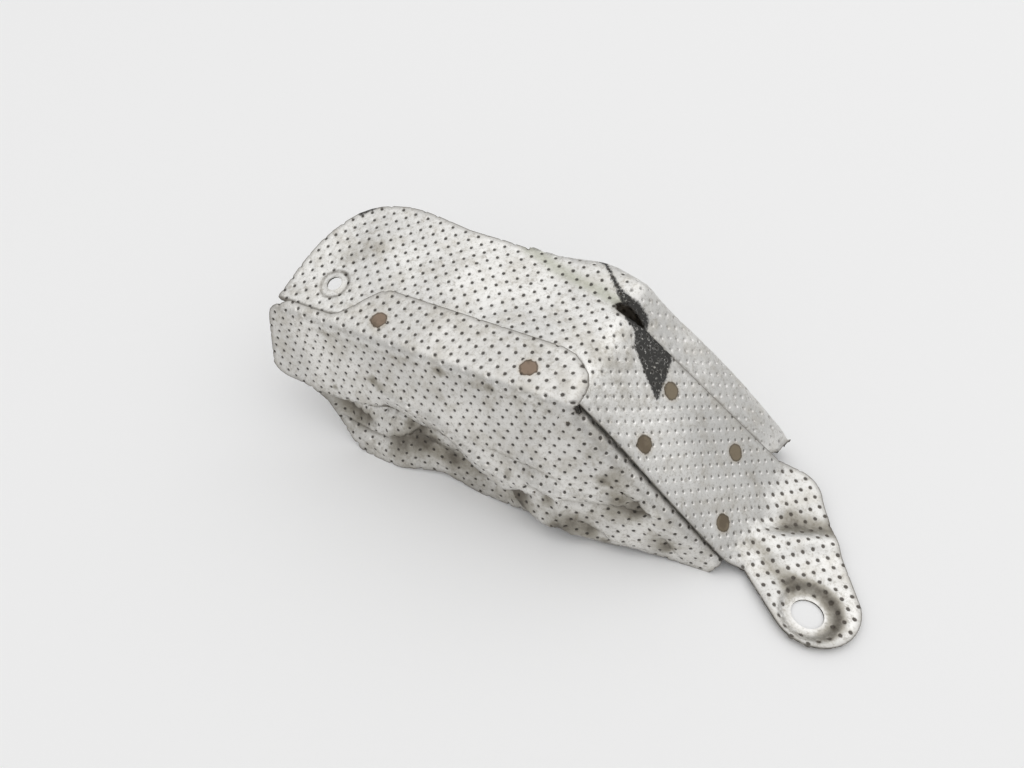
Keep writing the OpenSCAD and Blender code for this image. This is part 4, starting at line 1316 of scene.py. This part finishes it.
def wear_of_top(spot):
    x, y, z = spot.T
    r_bolt = from_bolt_hole(x, y)
    # Painted shade with some dirt: dark lines where the flange's edge and the ramp's back edge lap over the
    # sheet, and in the washer's groove and at the lip round the bolt hole.
    folds = [distance_to_path(spot, FLANGE_CUT) * 1.5 + 0.2, distance_to_path(spot, RIDGE_LINE) * 1.3 + 0.8,
             np.abs(r_bolt - 6.1) * 1.6 + 0.8, np.abs(r_bolt - 3.4) * 2 + 1.9]
    beyond_ramp = (y > ridge_y(x) + 0.6) * 9.0 + (z < top_z(x, y) - 4) * 9.0
    # Black patches round the torn hole and a smudge at the crown's back corner, below zero inside their
    # outlines.
    black_patch = [inside_distance(BLACK_PATCH_ON_RAMP, x, y) + beyond_ramp,
            inside_distance(BLACK_BAND_PATCH, x, y) + np.maximum(0, 60 - z) * 0.15,
            inside_distance(SMUDGE, x, y) + 0.3]
    on_ramp, on_ear = ease((x - CROWN_L + 1) / 5), ease((x - 208) / 8)
    # Painted light: the shoulder faces the lamps, so its dimples are painted smaller and lighter.
    shoulder = ease((y - ridge_y(x)) / 1.5) * (x > 136)
    return {
        "fold": np.min(folds, axis=0),
        "black_patch": np.clip(np.min(black_patch, axis=0), -9, 20),
        # The dish and the ear's bands add painted shade with dirt to the stains.
        "stain_and_shade": stain_and_shade_clouds(TOP_STAINS, x, y) + (dish_shade_and_dirt(x, y) + ear_shade_and_dirt_bands(x, y)) * on_ear,
        # On the ear the whole dimple is painted dark brown, for dirt and painted shade.
        "spread": mix(mix(0.40, 0.12, on_ramp), 0.85, on_ear) * (1 - shoulder),
        "pit_dirt_and_shade": mix(mix(0.95, 0.65, on_ramp), 0.95, on_ear) * (1 - 0.5 * shoulder),
    }


def wear_of_front(spot):
    x, y, z = spot.T
    # Painted shade with some dirt: along the strip's fold under the ramp, in the knocked-in crumples of the
    # wall, and along the seam.
    folds = [distance_to_path(spot, STRIP_FOLD) + 0.9, 3.9 - 1.5 * crumple(x, z) + (z > 46) * 20,
             distance_to_path(spot, SEAM_LINE) * 0.9 + 0.6]
    under_bend = 0.5 * hump((crest_z(x) - z - 5) / 2.6) * ease((x - 12) / 14) * ease((150 - x) / 20)
    on_flange = ease((y - 1.5) / 2) * (z > 50)
    return {
        "fold": np.min(folds, axis=0),
        "black_patch": np.full(len(x), 20.0),
        # Stains, and painted shade with dirt below the wall's crease, where the skirt tucks in under it; a
        # darker band also lies just below the bend.
        "stain_and_shade": stain_and_shade_clouds(WALL_STAINS_AND_SHADE, x, z) + 0.30 * ease((crease_z(x) - z) / 8) + under_bend * (y < 3),
        "spread": mix(0.34, 0.5, on_flange),
        "pit_dirt_and_shade": np.full(len(x), 0.95),
    }


for piece, wear_of in ((top, wear_of_top), (front, wear_of_front)):
    spot = points_of(piece) / MM + ORIGIN
    wear = wear_of(spot)
    wear["fold"] = np.clip(wear["fold"], -1, 50)
    wear["weld"] = np.min([np.linalg.norm(spot - weld, axis=1) for weld in WELDS], axis=0)
    wear["groove"] = np.minimum(distance_to_path(spot, GROOVE), 60)
    for name, values in wear.items():
        piece.data.attributes.new(name, "FLOAT", "POINT").data.foreach_set("value", values.astype(np.float32))
print("wear stored as", [a.name for a in top.data.attributes if a.data_type == "FLOAT"])

# %% [markdown]
# Materials are written as sums. A small class wraps a node's output, so that adding, multiplying or
# comparing two of them lays down the Math node for it. Colours go through Mix nodes.
# %% Shader expressions
class Shade:
    """A socket that Python's operators work on."""
    tree = None

    def __init__(self, socket):
        self.socket = socket

    @classmethod
    def node(cls, kind, settings=None, output=0, **sockets):
        new = cls.tree.nodes.new(kind)
        for name, value in (settings or {}).items():
            setattr(new, name, value)
        for name, value in sockets.items():
            socket = new.inputs[int(name[1:])] if name[1:].isdigit() else new.inputs[name.replace("_", " ")]
            if isinstance(value, cls):
                cls.tree.links.new(value.socket, socket)
            else:
                socket.default_value = value
        return cls(new.outputs[output])

    @staticmethod
    def math(operation, first, second):
        return Shade.node("ShaderNodeMath", {"operation": operation}, i0=first, i1=second)

    def __add__(self, other):
        return Shade.math("ADD", self, other)

    def __sub__(self, other):
        return Shade.math("SUBTRACT", self, other)

    def __rsub__(self, other):
        return Shade.math("SUBTRACT", other, self)

    def __mul__(self, other):
        return Shade.math("MULTIPLY", self, other)

    __radd__ = __add__
    __rmul__ = __mul__

    def between(self, low, high):
        """0 at low and 1 at high, clamped and eased; low may be the larger."""
        return Shade.node("ShaderNodeMapRange", {"interpolation_type": "SMOOTHSTEP"}, Value=self,
                          From_Min=low, From_Max=high)

    def most(self, other):
        return Shade.math("MAXIMUM", self, other)

    def tint(self, mask, colour):
        """This colour, turned towards another where the mask is 1."""
        return blend(mask, self, colour)

    def into(self, shader, name):
        Shade.tree.links.new(self.socket, shader.inputs[name])


def blend(mask, first, second):
    """A mix of two colours; each is a tuple of red, green and blue, or an expression."""
    first, second = [(*c, 1) if isinstance(c, tuple) else c for c in (first, second)]
    return Shade.node("ShaderNodeMix", {"data_type": "RGBA"}, 2, i0=mask, i6=first, i7=second)


def measure(name):
    """A number stored on the points."""
    return Shade.node("ShaderNodeAttribute", {"attribute_name": name}, 2)


def noise(scale, detail=3.0, roughness=0.55, w=0.0):
    """Noise in Object coordinates, about 0.5 on average; scale is in turns a metre."""
    place = Shade.node("ShaderNodeTexCoord", output=3)
    return Shade.node("ShaderNodeTexNoise", {"noise_dimensions": "4D"}, Vector=place, W=w, Scale=scale,
                      Detail=detail, Roughness=roughness)


def new_material(name):
    """A material with its shader; the next expressions are laid down in it."""
    material = bpy.data.materials.new(name)
    material.use_nodes = True
    Shade.tree = material.node_tree
    return material, material.node_tree.nodes["Principled BSDF"]


print("shader expressions ready")

# %% [markdown]
# Heat, dirt, black patches and painted shade lie over the metal in layers, so the colour is painted in that
# order: the metal with its broad clouds, stains with painted shade, the greenish film in the groove with
# painted shade, painted shade with dirt in the folds and along cut edges, the black patches, the welds with
# their brown heat tint, and last the dirt and painted shade in the dimples. Where these marks lie the surface
# is less metallic and rougher.
# %% Worn satin aluminium
COARSE_DUST, FINE_DUST = (0.36, 0.33, 0.28), (0.34, 0.32, 0.28)
# Stain colours; the strongest clouds are painted shade with dirt.
BROWN_STAIN_AND_SHADE, DARK_STAIN_AND_SHADE = (0.24, 0.215, 0.165), (0.085, 0.072, 0.056)
# The groove's greenish film, darkened as painted shade of the groove.
GREEN_FILM_AND_SHADE = (0.36, 0.37, 0.27)
# Painted shade with dirt, in folds and along cut edges.
FOLD_SHADE_AND_DIRT, EDGE_SHADE_AND_DIRT = (0.13, 0.112, 0.088), (0.10, 0.086, 0.066)
# The black of the patches.
PATCH_BLACK = (0.014, 0.013, 0.011)
HEAT_HALO, HEAT_BROWN, HEAT_RIM = (0.52, 0.44, 0.34), (0.115, 0.086, 0.058), (0.06, 0.048, 0.032)
# Dirt and painted shade down in the dimples.
PIT_DIRT_AND_SHADE_BLACK, PIT_DIRT_AND_SHADE_BROWN = (0.022, 0.019, 0.016), (0.115, 0.098, 0.080)


def worn_aluminium(name, tone, dirt_tone, weld_tone):
    material, shader = new_material(name)
    broad, blotch, grain = noise(28, 3), noise(110, 4, 0.6, 3.0), noise(1500, 2, 0.6, 1.0)
    speck, fine = noise(420, 3, 0.7, 7.0), noise(900, 3, 0.7, 11.0)
    pit, weld, groove_mm, fold_mm = (measure(n) for n in ("pit", "weld", "groove", "fold"))
    black_patch_mm, stain_and_shade, dark, spread, cut_mm = (measure(n) for n in ("black_patch", "stain_and_shade", "pit_dirt_and_shade", "spread", "cut"))
    shake = (blotch - 0.5) * 5.0 + (speck - 0.5) * 4.0

    dull_tone, bright_tone = tuple(c * 0.86 for c in tone), tuple(min(c * 1.06, 1) for c in tone)
    metal = blend(broad.between(0.38, 0.62), dull_tone, bright_tone)
    metal = metal.tint(blotch.between(0.46, 0.66) * 0.45, dirt_tone)
    metal = metal.tint(speck.between(0.52, 0.68) * 0.45, COARSE_DUST)
    metal = metal.tint(fine.between(0.50, 0.68) * 0.40, FINE_DUST)
    # Stains, with painted shade below the wall's creases, in the dish and on the ear.
    metal = metal.tint((stain_and_shade + shake * 0.12).between(0.12, 0.95) * 0.72, BROWN_STAIN_AND_SHADE)
    metal = metal.tint((stain_and_shade + shake * 0.16).between(0.75, 1.5) * 0.70, DARK_STAIN_AND_SHADE)
    # The greenish film in the groove, darkened as painted shade.
    metal = metal.tint((groove_mm + shake).between(5.0, 0.0) * 0.55, GREEN_FILM_AND_SHADE)
    # Painted shade with dirt along folds, seams, lap edges and knocked-in crumples.
    crease = (fold_mm + shake * 0.35).between(2.8, 0.3) * 0.80
    metal = metal.tint(crease, FOLD_SHADE_AND_DIRT)
    # Painted shade with dirt: a dark margin along each cut edge, for the thin shadow of a lapped edge.
    margin = (cut_mm + (fine - 0.5) * 0.8).between(0.85, 0.10) * 0.72
    margin = margin.most((cut_mm + shake * 0.4).between(2.4, 0.2) * 0.30)
    metal = metal.tint(margin, EDGE_SHADE_AND_DIRT)

    wall_of_pit = pit.between(0.06, 0.30) * pit.between(0.85, 0.60)
    ragged = shake * 0.30 + (fine - 0.5) * 3.0
    # Black patches, ragged at their edges and a little thinner on the dimples' walls.
    black_patch = (black_patch_mm + ragged).between(0.6, -0.6) * (1 - wall_of_pit * 0.12) * fine.between(0.68, 0.56)
    metal = metal.tint(black_patch * 0.97, PATCH_BLACK)

    heat = (weld + (speck - 0.5) * 2.0).between(4.0, 3.4)
    metal = metal.tint((weld + shake * 0.4).between(5.4, 3.6) * 0.30, HEAT_HALO)
    metal = metal.tint(heat * 0.94, weld_tone)
    metal = metal.tint(heat * blotch.between(0.44, 0.60) * 0.65, HEAT_BROWN)
    metal = metal.tint(heat * (weld + (speck - 0.5) * 1.2).between(2.9, 3.5) * 0.6, HEAT_RIM)

    # Dirt and painted shade down in the dimples, browner where it spreads wider.
    filled = (pit + spread * 0.40 + (speck - 0.5) * 0.8).between(0.46, 0.92)
    pit_dirt_and_shade = filled * pit.between(0.10, 0.30) * dark
    metal = metal.tint(pit_dirt_and_shade * 0.94, blend(spread, PIT_DIRT_AND_SHADE_BLACK, PIT_DIRT_AND_SHADE_BROWN))
    metal.into(shader, "Base Color")

    dull = pit_dirt_and_shade.most(black_patch).most(crease * 0.6).most(margin * 0.8)
    (1 - dull.most(heat * 0.6) * 0.85).into(shader, "Metallic")
    rough = 0.38 + (broad - 0.5) * 0.16 + (speck - 0.5) * 0.22 + dull * 0.35 + heat * 0.15
    rough.into(shader, "Roughness")
    relief = grain + fine + blotch * 4.0 + speck * 1.5
    Shade.node("ShaderNodeBump", Strength=0.45, Distance=0.00014, Height=relief).into(shader, "Normal")
    return material


top_metal = worn_aluminium("worn_aluminium", tone=(0.80, 0.79, 0.765), dirt_tone=(0.56, 0.53, 0.47),
                           weld_tone=(0.20, 0.157, 0.098))
# The front sheet gets a slightly darker copy of the same metal.
front_metal = worn_aluminium("darker_aluminium", tone=(0.78, 0.765, 0.735), dirt_tone=(0.47, 0.44, 0.38),
                             weld_tone=(0.245, 0.172, 0.118))
print("outside:", top_metal.name, "and", front_metal.name)

# %% [markdown]
# The cut edges are painted dark, with dirt and painted shade, and only a few places still shine there. The
# inside faced the exhaust; it is painted dark brown with darker clouds, as painted shade in the hollow of the
# hood, which shows black through the torn hole.
# %% Cut edges and the dark inside
def shaded_dirty_edge():
    material, shader = new_material("shaded_dirty_cut_edge")
    clean = noise(160, 3, 0.6, 5.0).between(0.48, 0.70)
    # Painted shade with dirt: the cut edges are dark, with a few clean places.
    blend(clean, (0.075, 0.068, 0.058), (0.42, 0.40, 0.36)).into(shader, "Base Color")
    (0.25 + clean * 0.6).into(shader, "Metallic")
    (0.75 - clean * 0.25).into(shader, "Roughness")
    return material


def shaded_inside():
    material, shader = new_material("shaded_inside")
    cloud, speck = noise(40, 4, 0.6, 2.0), noise(420, 3, 0.7, 7.0)
    # Painted shade: the inside is painted dark brown with darker clouds.
    metal = blend(cloud.between(0.40, 0.62), (0.30, 0.265, 0.215), (0.10, 0.088, 0.072))
    metal = metal.tint(speck.between(0.50, 0.66) * 0.5, (0.05, 0.043, 0.036))
    metal.into(shader, "Base Color")
    shader.inputs["Metallic"].default_value = 0.6
    (0.50 + cloud * 0.2).into(shader, "Roughness")
    return material


cut_edge, inside_metal = shaded_dirty_edge(), shaded_inside()
for piece, metal in ((top, top_metal), (front, front_metal)):
    for slot, material in enumerate((metal, cut_edge, inside_metal)):
        piece.data.materials[slot] = material
print("edges and inside:", cut_edge.name, "and", inside_metal.name)
